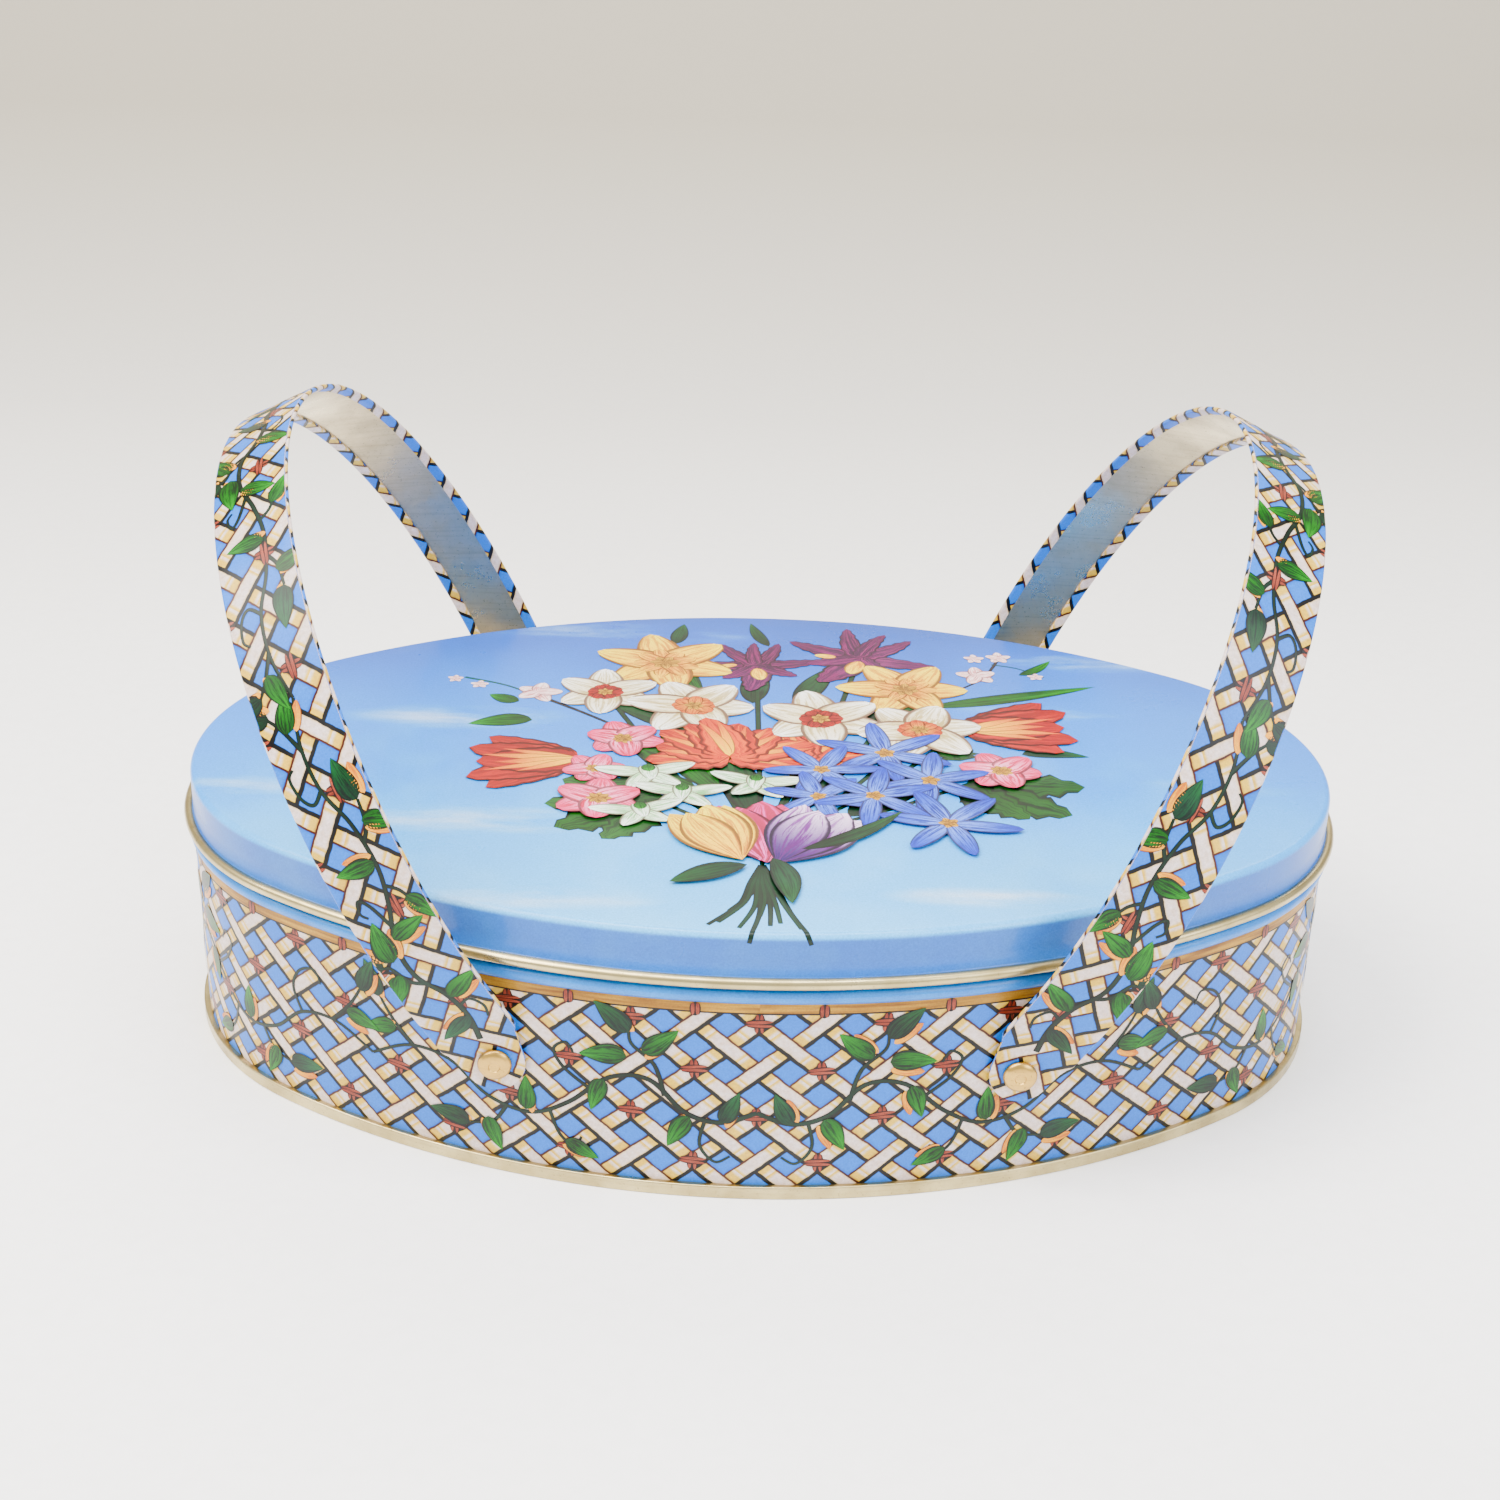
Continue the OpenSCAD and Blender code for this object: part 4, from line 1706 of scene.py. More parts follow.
def make_stem_recipe() -> Recipe:
    """Builds stems: a round profile swept along every chain of edges, as thick as its attribute says.

    Returns:
        The recipe.
    """
    recipe = Recipe("printed_stems", [("Sides", "NodeSocketInt", 8),
                                      ("Material", "NodeSocketMaterial", None)])
    sheet, given = recipe.sheet, recipe.given
    curve = sheet.node("GeometryNodeMeshToCurve")
    sheet.feed(curve.inputs[0], given["Geometry"])
    sized = sheet.node("GeometryNodeSetCurveRadius")
    sheet.feed(sized.inputs["Curve"], curve.outputs[0])
    sheet.feed(sized.inputs["Radius"], recipe.named("thick"))
    ring = sheet.node("GeometryNodeCurvePrimitiveCircle")
    sheet.feed(ring.inputs["Resolution"], given["Sides"])
    ring.inputs["Radius"].default_value = 1.0
    swept = sheet.node("GeometryNodeCurveToMesh")
    sheet.feed(swept.inputs["Curve"], sized.outputs[0])
    sheet.feed(swept.inputs["Profile Curve"], ring.outputs[0])
    swept.inputs["Fill Caps"].default_value = True
    sheet.feed(swept.inputs["Scale"], recipe.named("thick"))
    recipe.finish(swept.outputs[0])
    return recipe


@dataclass
class FlatPrint:
    """A drawing of petals and stems that is laid on a surface as thin ink."""

    name: str
    body: str
    slot: str
    surface: Surface
    reversed_faces: bool = False
    lift: float = INK_LIFT
    layers: int = 60
    layer_step: float = 0.0015 * MM
    thickness: float = 0.006 * MM
    columns: int = 7
    rows: int = 13
    petals: list[Petal] = field(default_factory=list)
    stems: list[Stem] = field(default_factory=list)

    def petal_cloud(self) -> Piece:
        """Points that carry each petal's place, outline and colours.

        Returns:
            The points as an object.
        """
        places = [Vector((p.x * MM, p.y * MM, self.lift + (i % self.layers) * self.layer_step))
                  for i, p in enumerate(self.petals)]
        cloud = point_cloud(self.name + "_roots", places)
        values = {
            "turn": [math.radians(p.turn) for p in self.petals],
            "reach": [p.reach * MM for p in self.petals],
            "breadth": [p.breadth * MM for p in self.petals],
            "fullness": [p.fullness for p in self.petals],
            "pinch": [p.pinch for p in self.petals],
            "bend": [p.bend for p in self.petals],
            "teeth": [p.teeth for p in self.petals],
            "seed": [(i * 0.618) % 1.0 * 40.0 for i in range(len(self.petals))],
        }
        for key, numbers in values.items():
            cloud.data.attributes.new(key, "FLOAT", "POINT").data.foreach_set("value", numbers)
        for key in ("base", "tip", "vein"):
            flat = [c for p in self.petals for c in getattr(p.ink, key)]
            cloud.data.attributes.new(key, "FLOAT_COLOR", "POINT").data.foreach_set("color", flat)
        return cloud

    def stem_wire(self) -> Piece:
        """Edges that carry each stem's path, thickness and colours.

        Returns:
            The edges as an object.
        """
        points: list[Pair] = []
        edges: list[tuple[int, int]] = []
        thick: list[float] = []
        inks: list[Ink] = []
        for stem in self.stems:
            path = stem.smooth()
            for i, spot in enumerate(path):
                if i:
                    edges.append((len(points) - 1, len(points)))
                points.append(spot)
                taper = 1.0 - 0.45 * i / len(path)
                thick.append(stem.thick * MM / 2 * taper)
                inks.append(stem.ink)
        mesh = bpy.data.meshes.new(self.name + "_wire")
        mesh.from_pydata([(x * MM, y * MM, 0.0) for x, y in points], edges, [])
        mesh.attributes.new("thick", "FLOAT", "POINT").data.foreach_set("value", thick)
        for key in ("base", "tip", "vein"):
            flat = [c for ink in inks for c in getattr(ink, key)]
            mesh.attributes.new(key, "FLOAT_COLOR", "POINT").data.foreach_set("color", flat)
        return add_object(self.name + "_wire", mesh)

    def lay(self, piece: Piece, flatten: bool) -> None:
        """Bends a flat piece onto the surface.

        Args:
            piece: The flat piece.
            flatten: Whether its round sections are pressed down to a film first.
        """
        mesh = piece.data
        if flatten:
            thick = [0.0] * len(mesh.vertices)
            mesh.attributes["thick"].data.foreach_get("value", thick)
            petal = mesh.attributes.new("petal", "FLOAT_VECTOR", "POINT")
            for vertex, radius, item in zip(mesh.vertices, thick, petal.data):
                share = min(1.0, abs(vertex.co.z) / max(radius, 1e-9))
                item.vector = (min(1.0, FILM_SPREAD * math.sqrt(1.0 - share * share)), 0.4, 0.0)
        for vertex in mesh.vertices:
            lift = self.lift * FILM_LIFT + vertex.co.z * FILM if flatten else vertex.co.z
            vertex.co = self.surface.place(vertex.co.x, vertex.co.y, lift)

    def build(self, petal_recipe: Recipe, stem_recipe: Recipe, ink: Material) -> None:
        """Builds the stems and the petals and lets them ride on the body.

        Args:
            petal_recipe: Recipe of the petals.
            stem_recipe: Recipe of the stems.
            ink: Their material.
        """
        if self.stems:
            stems = stem_recipe.apply(self.stem_wire(), self.name + "_stems", Material=ink)
            self.lay(stems, True)
            outward(stems)
            settle(stems, self.body, self.slot)
        if self.petals:
            petals = petal_recipe.apply(self.petal_cloud(), self.name + "_petals", Columns=self.columns,
                                        Rows=self.rows, Material=ink)
            self.lay(petals, False)
            self.close(petals)
            settle(petals, self.body, self.slot)

    def close(self, piece: Piece) -> None:
        """Merges the petals' pointed ends and gives them their film's thickness."""
        clean_mesh(piece.data, 2e-7, 1e-8, False, self.reversed_faces)
        solid = piece.modifiers.new("film", "SOLIDIFY")
        solid.thickness = self.thickness
        solid.offset = -1.0

    def ring(self, x: float, y: float, count: int, reach: float, breadth: float, ink: Ink, start: float = 0.0,
             inner: float = 0.0, fullness: float = 0.8, pinch: float = 0.6) -> None:
        """Adds petals all round a point.

        Args:
            x: Middle, along.
            y: Middle, across.
            count: Number of petals.
            reach: Length of each.
            breadth: Half width of each.
            ink: Their colours.
            start: Turn of the first, in degrees.
            inner: How far from the middle they start.
            fullness: Where along its length a petal is widest.
            pinch: How pointed its ends are.
        """
        order = [i for i in range(count) if i % 2 == 0] + [i for i in range(count) if i % 2]
        for i in order:
            turn = start + 360.0 * i / count
            lean = math.radians(turn)
            wobble = 1.0 + 0.07 * math.sin(5.0 * i + x)
            self.petals.append(Petal(x - inner * math.sin(lean), y + inner * math.cos(lean), turn,
                                     reach * wobble, breadth, ink, fullness, pinch,
                                     0.05 * math.sin(3.0 * i + y)))


class Bloom(Enum):
    """Kinds of flower in the printed bouquet."""

    DAFFODIL = "daffodil"
    NARCISSUS = "narcissus"
    STAR = "star"
    TULIP = "tulip"
    PARROT = "parrot"
    PRIMROSE = "primrose"
    SNOWDROP = "snowdrop"
    CROCUS = "crocus"
    IRIS = "iris"
    BUD = "bud"


# Petals of some kinds: lean in degrees, then length and half width as shares of the flower's size.
TULIP_PETALS = ((-24, 0.92, 0.20), (24, 0.95, 0.20), (-12, 1.0, 0.24), (13, 1.03, 0.24), (0, 0.9, 0.26))
TULIP_FLASHES = ((-20, 0.7, 0.05), (-9, 0.86, 0.06), (2, 0.74, 0.07), (12, 0.88, 0.05), (21, 0.6, 0.05))
IRIS_PETALS = ((-95, 1.0, 0.17), (92, 1.0, 0.17), (-40, 0.9, 0.15), (38, 0.95, 0.15),
               (5, 0.85, 0.13), (176, 0.95, 0.25), (-140, 0.7, 0.16), (138, 0.72, 0.16))


@dataclass(frozen=True)
class Flower:
    """One flower: its kind, place and size in millimetres, turn in degrees and ink."""

    kind: Bloom
    x: float
    y: float
    size: float
    turn: float = 0.0
    ink: Ink = YELLOW

    def draw(self, flat: FlatPrint) -> None:
        """Adds the flower's petals to a drawing.

        Args:
            flat: The drawing.
        """
        x, y, size, turn = self.x, self.y, self.size, self.turn

        def add(lean: float, reach: float, breadth: float, ink: Ink, *shape: float) -> None:
            """Adds a petal from the middle, its lengths as shares of the flower's size."""
            flat.petals.append(Petal(x, y, turn + lean, size * reach, size * breadth, ink, *shape))

        if self.kind is Bloom.DAFFODIL:
            flat.ring(x, y, 6, size, size * 0.33, self.ink, turn, 0.0, 0.7, 0.55)
            flat.ring(x, y, 9, size * 0.42, size * 0.13, GOLD, turn, size * 0.06, 0.8, 0.35)
            flat.ring(x, y, 7, size * 0.22, size * 0.08, OLIVE, turn + 20, 0.0)
        elif self.kind is Bloom.NARCISSUS:
            flat.ring(x, y, 6, size, size * 0.36, WHITE, turn, 0.0, 0.75, 0.5)
            flat.ring(x, y, 12, size * 0.30, size * 0.12, self.ink, turn, size * 0.04, 0.8, 0.3)
            flat.ring(x, y, 6, size * 0.15, size * 0.06, OLIVE, turn, 0.0)
        elif self.kind is Bloom.STAR:
            flat.ring(x, y, 6, size, size * 0.17, BLUE_STAR, turn, size * 0.04, 0.85, 0.5)
            flat.ring(x, y, 5, size * 0.16, size * 0.07, OLIVE, turn, 0.0)
        elif self.kind is Bloom.TULIP:
            for lean, reach, width in TULIP_PETALS:
                add(lean, reach, width, self.ink, 0.72, 0.55, lean * -0.006, 0.06)
            for lean, reach, width in TULIP_FLASHES:
                add(lean, reach, width, FLASH, 0.7, 0.9)
        elif self.kind is Bloom.PARROT:
            for i, lean in enumerate((-100, 98, -72, 70, -44, 42, -18, 16, 0)):
                reach = size * (0.78 + 0.07 * (i % 3))
                bend = 0.14 - 0.04 * i
                flat.petals.append(Petal(x, y, turn + lean, reach, size * 0.25, self.ink,
                                         0.62, 0.5, bend, 0.1))
                for side in (-6, 7):
                    flat.petals.append(Petal(x, y, turn + lean + side, reach * 0.94, size * 0.06,
                                             FLASH, 0.6, 0.8, bend))
        elif self.kind is Bloom.PRIMROSE:
            flat.ring(x, y, 6, size, size * 0.44, self.ink, turn, 0.0, 0.62, 0.42)
            flat.ring(x, y, 8, size * 0.28, size * 0.1, OLIVE, turn)
        elif self.kind is Bloom.SNOWDROP:
            for lean, reach in ((-82, 1.0), (80, 1.0), (-150, 0.8), (160, 0.72)):
                add(lean, reach, 0.23, SNOW, 0.85, 0.55, lean * 0.0015)
            flat.petals.append(Petal(x, y + size * 0.3, turn + 180, size * 0.62, size * 0.2, SNOW, 0.6, 0.5))
            flat.petals.append(Petal(x, y + size * 0.34, turn + 180, size * 0.32, size * 0.14, LEAF,
                                     1.0, 0.5))
        elif self.kind is Bloom.CROCUS:
            for lean, reach, width in ((-19, 0.96, 0.2), (19, 0.98, 0.2), (-8, 1.0, 0.24), (9, 0.92, 0.22)):
                add(lean, reach, width, self.ink, 1.25, 0.75, lean * 0.004)
        elif self.kind is Bloom.IRIS:
            for lean, reach, width in IRIS_PETALS:
                add(lean, reach, width, PLUM, 0.6, 0.5, 0.18 if lean > 0 else -0.18, 0.12)
            flat.petals.append(Petal(x, y - size * 0.12, turn + 180, size * 0.42, size * 0.13, YELLOW,
                                     1.0, 0.5))
            flat.petals.append(Petal(x - size * 0.3, y, turn + 100, size * 0.28, size * 0.07, YELLOW,
                                     1.0, 0.5))
        else:
            flat.ring(x, y, 5, size, size * 0.4, Ink.of("f6e6e6", "fdf6f4", "d8a8a8"), turn, 0.0, 0.7, 0.5)


RED_CUP = Ink.of("a81408", "d03818", "6c0c04")
BLOOMS = (
    Flower(Bloom.BUD, -52.0, 29.5, 5.5, 60.0), Flower(Bloom.BUD, -66.0, 33.0, 2.2),
    Flower(Bloom.BUD, -72.0, 36.0, 2.0), Flower(Bloom.BUD, 52.0, 45.0, 5.0, 80.0),
    Flower(Bloom.BUD, 58.0, 56.0, 3.2), Flower(Bloom.BUD, 52.0, 55.0, 2.6),
    Flower(Bloom.BUD, 66.0, 45.0, 2.0),
    Flower(Bloom.IRIS, -1.0, 48.0, 16.0, 8.0), Flower(Bloom.IRIS, 24.0, 54.0, 19.0, -20.0),
    Flower(Bloom.DAFFODIL, -23.0, 48.0, 17.0, 12.0), Flower(Bloom.DAFFODIL, 34.0, 35.5, 15.5, 30.0),
    Flower(Bloom.NARCISSUS, -36.5, 30.0, 12.5, 0.0, RED_CUP),
    Flower(Bloom.NARCISSUS, -15.5, 23.5, 15.0, 25.0, Ink.of("f4c020", "e08a14", "b05808")),
    Flower(Bloom.TULIP, -40.0, -6.0, 25.0, 96.0, RED), Flower(Bloom.TULIP, 46.0, 14.0, 26.0, -84.0, RED),
    Flower(Bloom.PRIMROSE, -31.0, 5.0, 9.0, 15.0, PINK),
    Flower(Bloom.PRIMROSE, -36.5, -10.5, 7.0, 40.0, PINK),
    Flower(Bloom.PARROT, 8.0, -4.0, 18.0, 4.0, FLAME), Flower(Bloom.PARROT, -7.0, -3.0, 22.0, 6.0, FLAME),
    Flower(Bloom.NARCISSUS, 13.5, 17.5, 15.0, 8.0, RED_CUP),
    Flower(Bloom.NARCISSUS, 36.0, 13.0, 15.0, 40.0, Ink.of("f4c020", "d86a10", "a84408")),
    Flower(Bloom.SNOWDROP, -25.0, -12.0, 11.5, 10.0), Flower(Bloom.SNOWDROP, -1.0, -15.5, 11.0, -6.0),
    Flower(Bloom.PRIMROSE, -34.5, -25.0, 9.5, 0.0, PINK), Flower(Bloom.SNOWDROP, -17.0, -21.0, 11.0, 0.0),
    Flower(Bloom.SNOWDROP, -26.0, -30.0, 10.5, 14.0),
    Flower(Bloom.PRIMROSE, 52.5, -7.5, 9.0, 20.0, PINK),
    Flower(Bloom.STAR, 27.5, 0.0, 15.0, 10.0), Flower(Bloom.STAR, 13.0, -9.0, 13.0, 35.0),
    Flower(Bloom.STAR, 36.5, -13.0, 14.5, -8.0), Flower(Bloom.STAR, 12.0, -22.0, 12.5, 15.0),
    Flower(Bloom.STAR, 24.0, -21.0, 14.0, 50.0), Flower(Bloom.STAR, 39.0, -33.0, 14.5, 20.0),
    Flower(Bloom.CROCUS, 1.0, -52.0, 27.0, 8.0, MAGENTA),
    Flower(Bloom.CROCUS, 3.0, -52.0, 27.0, -28.0, LILAC),
    Flower(Bloom.CROCUS, -4.0, -51.0, 25.0, 24.0, YELLOW))

# Broad leaves behind the flowers: start, turn, length, half width, bend and ink.
BLADES = (
    (-6.0, 6.0, 58.0, 44.0, 5.0, 0.1, DEEP_LEAF), (-14.0, 30.0, 20.0, 26.0, 2.4, 0.1, LEAF),
    (-2.0, 26.0, -2.0, 22.0, 3.6, 0.05, DEEP_LEAF), (8.0, 26.0, -22.0, 24.0, 3.4, 0.0, DEEP_LEAF),
    (2.0, 60.0, 26.0, 15.0, 1.8, 0.15, DEEP_LEAF), (-21.0, 60.0, -8.0, 13.0, 2.2, 0.0, DEEP_LEAF),
    (38.0, 26.0, -74.0, 44.0, 2.6, -0.05, LEAF), (20.0, 12.0, -46.0, 26.0, 4.0, 0.1, DEEP_LEAF),
    (-8.0, -20.0, 32.0, 34.0, 4.6, 0.12, LEAF), (8.0, -24.0, -18.0, 38.0, 4.2, -0.1, DEEP_LEAF),
    (-2.0, -30.0, 10.0, 34.0, 4.6, 0.0, DEEP_LEAF), (18.0, -30.0, -40.0, 30.0, 4.2, 0.1, DEEP_LEAF),
    (-14.0, -18.0, 64.0, 24.0, 3.6, -0.1, LEAF), (-52.0, 14.0, 84.0, 14.0, 3.4, -0.3, LEAF),
    (-56.0, 24.0, 70.0, 8.0, 2.4, 0.1, LEAF), (62.0, 46.0, -60.0, 12.0, 1.6, -0.3, LEAF),
    (-22.0, -34.0, 98.0, 18.0, 1.8, 0.2, DEEP_LEAF), (58.0, 2.0, -70.0, 14.0, 2.6, 0.4, DEEP_LEAF))
# Toothed leaves at both sides: start, turn, length and half width.
TOOTHED = ((-20.0, -24.0, 100.0, 26.0, 7.0), (-22.0, -26.0, 122.0, 24.0, 6.5),
           (-24.0, -22.0, 74.0, 20.0, 6.0), (-22.0, -28.0, 146.0, 18.0, 5.0),
           (44.0, -14.0, -86.0, 26.0, 7.0), (42.0, -16.0, -112.0, 26.0, 7.0),
           (44.0, -16.0, -134.0, 18.0, 5.5), (44.0, -2.0, 12.0, 9.0, 4.5), (-14.0, -8.0, 60.0, 16.0, 5.0))
# Small leaves at the waist of the bunch: start, turn, length, half width and bend.
WAIST = ((-3.0, -53.0, 108.0, 17.0, 3.2, -0.15), (8.0, -46.0, -66.0, 27.0, 2.2, -0.28),
         (2.0, -50.0, -154.0, 18.0, 3.0, 0.25))
WAIST_SPOT = (0.0, -52.0)


def draw_bouquet(flat: FlatPrint) -> None:
    """Draws the whole bunch: stems, leaves behind, flowers, and leaves in front.

    Args:
        flat: The drawing.
    """
    wx, wy = WAIST_SPOT
    for flower in BLOOMS:
        if flower.kind in (Bloom.STAR, Bloom.CROCUS, Bloom.BUD):
            continue
        middle = (flower.x * 0.55, (flower.y + wy) * 0.42)
        path = ((flower.x, flower.y), middle, (flower.x * 0.06, wy + 10), WAIST_SPOT)
        flat.stems.append(Stem(path, 1.5, DEEP_LEAF))
    for i in range(11):
        fan = (i - 5) / 5
        reach = (24.0, 20.5, 28.6, 25.0, 18.5, 23.0)[(i * 5) % 6]
        path = (WAIST_SPOT, (wx + 2.2 * fan, wy - 7), (wx + 5.0 * fan + 0.5, wy - reach * 0.66),
                (wx + 10.0 * fan - 0.5, wy - reach))
        flat.stems.append(Stem(path, 1.7, DEEP_LEAF if i % 2 else VINE, 40))
    flat.stems.append(Stem(((-70.0, 37.0), (-60.0, 33.0), (-52.0, 27.0)), 0.9, LEAF))
    flat.stems.append(Stem(((-50.0, 26.0), (-40.0, 18.0), (-24.0, 4.0)), 1.3, TWIG))
    flat.stems.append(Stem(((58.0, 56.0), (56.0, 50.0), (52.0, 42.0), (42.0, 32.0)), 1.0, TWIG))
    flat.stems.append(Stem(((56.0, 52.0), (62.0, 50.0), (68.0, 45.0)), 0.7, LEAF))
    for x, y, turn, reach, breadth, bend, ink in BLADES:
        flat.petals.append(Petal(x, y, turn, reach, breadth, ink, 0.8, 0.8, bend))
    for x, y, turn, reach, breadth in TOOTHED:
        flat.petals.append(Petal(x, y, turn, reach, breadth, GREY_LEAF, 0.65, 0.55, 0.05, 0.22))
    for flower in BLOOMS:
        flower.draw(flat)
    for x, y, turn, reach, breadth, bend in WAIST:
        flat.petals.append(Petal(x, y, turn, reach, breadth, DEEP_LEAF, 0.9, 0.8, bend))


# ---- vines and twine


SPRIG_LENGTH = 80.0
SPRIG_MIDDLE = 21.0
VINE_WEIGHT = 1.35
WALL_SPRIGS = 8
STRAP_SPRIGS = 4
STRAP_INSET = 13.0
TIE_INSET = 14.0
TIE_LOWEST = 5.0
TOP_TWINE = 42.0
# One length of vine, SPRIG_LENGTH long: stems as points, then leaves as start, turn and length.
SPRIG_STEMS = (
    (((0.0, 20.0), (7.0, 17.5), (14.0, 19.5), (21.0, 26.5), (29.0, 26.0), (37.0, 19.0), (45.0, 15.0),
      (54.0, 17.0), (62.0, 23.5), (71.0, 24.5), (80.0, 20.0)), 0.95),
    (((18.0, 23.0), (20.0, 30.0), (24.5, 34.5), (25.0, 38.0)), 0.8),
    (((33.0, 23.0), (38.0, 27.0), (40.0, 31.0), (37.5, 33.0), (36.0, 30.5)), 0.65),
    (((41.0, 16.5), (39.0, 11.0), (36.0, 8.5), (34.5, 11.0)), 0.65),
    (((50.0, 15.5), (53.0, 11.0), (58.0, 9.5)), 0.75),
    (((62.0, 23.5), (60.0, 29.0), (62.0, 33.5), (66.0, 35.0), (67.5, 32.0)), 0.65),
    (((70.0, 24.5), (75.0, 30.0), (78.0, 35.0)), 0.75),
    (((10.0, 18.0), (11.0, 12.0), (8.0, 8.0), (5.0, 9.5)), 0.65))
SPRIG_LEAVES = (
    (25.0, 37.0, -38.0, 9.5), (22.5, 33.0, 62.0, 9.0), (25.5, 31.5, -84.0, 9.5), (58.0, 9.5, -70.0, 9.0),
    (54.0, 12.0, 168.0, 8.0), (37.5, 10.0, 128.0, 7.5), (78.0, 34.0, -12.0, 8.5), (74.0, 28.0, -96.0, 8.0),
    (46.0, 15.5, 10.0, 8.0), (7.0, 17.5, 36.0, 8.0), (13.0, 18.5, -140.0, 8.5), (30.0, 25.5, -152.0, 8.0))


def draw_sprig(flat: FlatPrint, start: float, scale: float, mirrored: bool, squeeze: float = 1.0,
               middle: float = SPRIG_MIDDLE, shift: float = 0.0) -> None:
    """Draws one length of vine.

    Args:
        flat: The drawing.
        start: Where it starts, in millimetres along the surface.
        scale: Its length against the drawn 80 mm.
        mirrored: Whether it runs backwards.
        squeeze: How much it is pressed together across.
        middle: The height that it is pressed towards.
        shift: How far it is moved across.
    """
    way = -1.0 if mirrored else 1.0
    origin = start + (SPRIG_LENGTH * scale if mirrored else 0.0)

    def spot(x: float, y: float) -> Pair:
        """Where a drawn point lands."""
        return (origin + way * x * scale, middle + (y - middle) * squeeze + shift)

    for points, thick in SPRIG_STEMS:
        flat.stems.append(Stem(tuple(spot(x, y) for x, y in points), thick * VINE_WEIGHT))
    for index, (x, y, turn, reach) in enumerate(SPRIG_LEAVES):
        fx, fy = spot(x, y)
        lean = turn * way
        off = math.radians(lean)
        flat.petals.append(Petal(fx + 1.4 * math.cos(off), fy + 1.4 * math.sin(off) - 0.4, lean - 14 * way,
                                 reach * 0.75, reach * 0.14, BLUSH, 0.9, 0.6))
        flat.petals.append(Petal(fx, fy, lean, reach, reach * 0.26, LEAF if index % 3 else DEEP_LEAF,
                                 0.66, 0.85, 0.16 * way, 0.07))


# Strands of a tie: offset, turn, length, half width and ink.
TIE_STRANDS = ((0.0, 0.0, 5.0, 1.15, TWINE_LINE), (-0.48, 0.0, 4.5, 0.42, TWINE),
               (0.48, 0.0, 4.5, 0.42, TWINE), (0.0, 90.0, 6.0, 0.98, TWINE_LINE),
               (-0.4, 90.0, 5.5, 0.36, TWINE), (0.4, 90.0, 5.5, 0.36, TWINE))


def draw_tie(flat: FlatPrint, x: float, y: float, turn: float = 0.0) -> None:
    """Draws twine wound crosswise round a crossing of two slats.

    Args:
        flat: The drawing.
        x: The crossing, along.
        y: The crossing, across.
        turn: Turn in degrees.
    """
    for offset, swing, reach, width, ink in TIE_STRANDS:
        angle = turn + swing + 5.0 * offset
        lean = math.radians(angle)
        flat.petals.append(Petal(x + offset * math.cos(lean) + reach / 2 * math.sin(lean),
                                 y + offset * math.sin(lean) - reach / 2 * math.cos(lean),
                                 angle, reach, width, ink, 1.0, 0.35))


def draw_wall_vines(flat: FlatPrint, length: float) -> None:
    """Draws vines all round the wall, whose length is given in millimetres."""
    for sprig in range(WALL_SPRIGS):
        draw_sprig(flat, length * sprig / WALL_SPRIGS, length / WALL_SPRIGS / SPRIG_LENGTH, bool(sprig % 2))


def draw_wall_twine(flat: FlatPrint, pitch: float, rise: float, base: float) -> None:
    """Draws twine all round the wall. Lengths in millimetres.

    Args:
        flat: The drawing.
        pitch: Distance between ties.
        rise: Distance between rows.
        base: Height of the second row.
    """
    for row in range(4):
        height = base + (row - 1) * rise
        if not TIE_LOWEST < height < TOP_TWINE:
            continue
        for column in range(TIE_COUNT):
            draw_tie(flat, pitch * (column + 0.5 * (row % 2 == 0)), height,
                     4.0 * math.sin(7.0 * column + row))
    for column in range(TIE_COUNT):
        x = pitch * (column + 0.5)
        flat.petals.append(Petal(x, TOP_TWINE + 0.1, 0.0, 3.2, 1.1, TWINE_LINE, 1.0, 0.25))
        for offset in (-0.48, 0.48):
            flat.petals.append(Petal(x + offset, TOP_TWINE + 0.3, 0.0, 2.9, 0.4, TWINE, 1.0, 0.25))


def draw_strap_vines(flat: FlatPrint, length: float) -> None:
    """Draws vines along the outside of a strap, whose length is given in millimetres.

    Args:
        flat: The drawing.
        length: The strap's length.
    """
    part = (length - 2 * STRAP_INSET) / STRAP_SPRIGS
    for sprig in range(STRAP_SPRIGS):
        draw_sprig(flat, STRAP_INSET + part * sprig, part / SPRIG_LENGTH, bool(sprig % 2), 0.42,
                   SPRIG_MIDDLE, -SPRIG_MIDDLE)


def draw_strap_twine(flat: FlatPrint, length: float, shift: float) -> None:
    """Draws twine along the outside of a strap. Lengths in millimetres.

    Args:
        flat: The drawing.
        length: The strap's length.
        shift: Shift of the lattice.
    """
    pitch, rise = 2 * STRAP_HALF_PITCH / MM, RISE / MM
    for column in range(int(length / pitch) + 1):
        for x, y in ((pitch * column, -shift), (pitch * (column + 0.5), rise - shift)):
            if TIE_INSET < x < length - TIE_INSET:
                draw_tie(flat, x, y)


# ---- stage


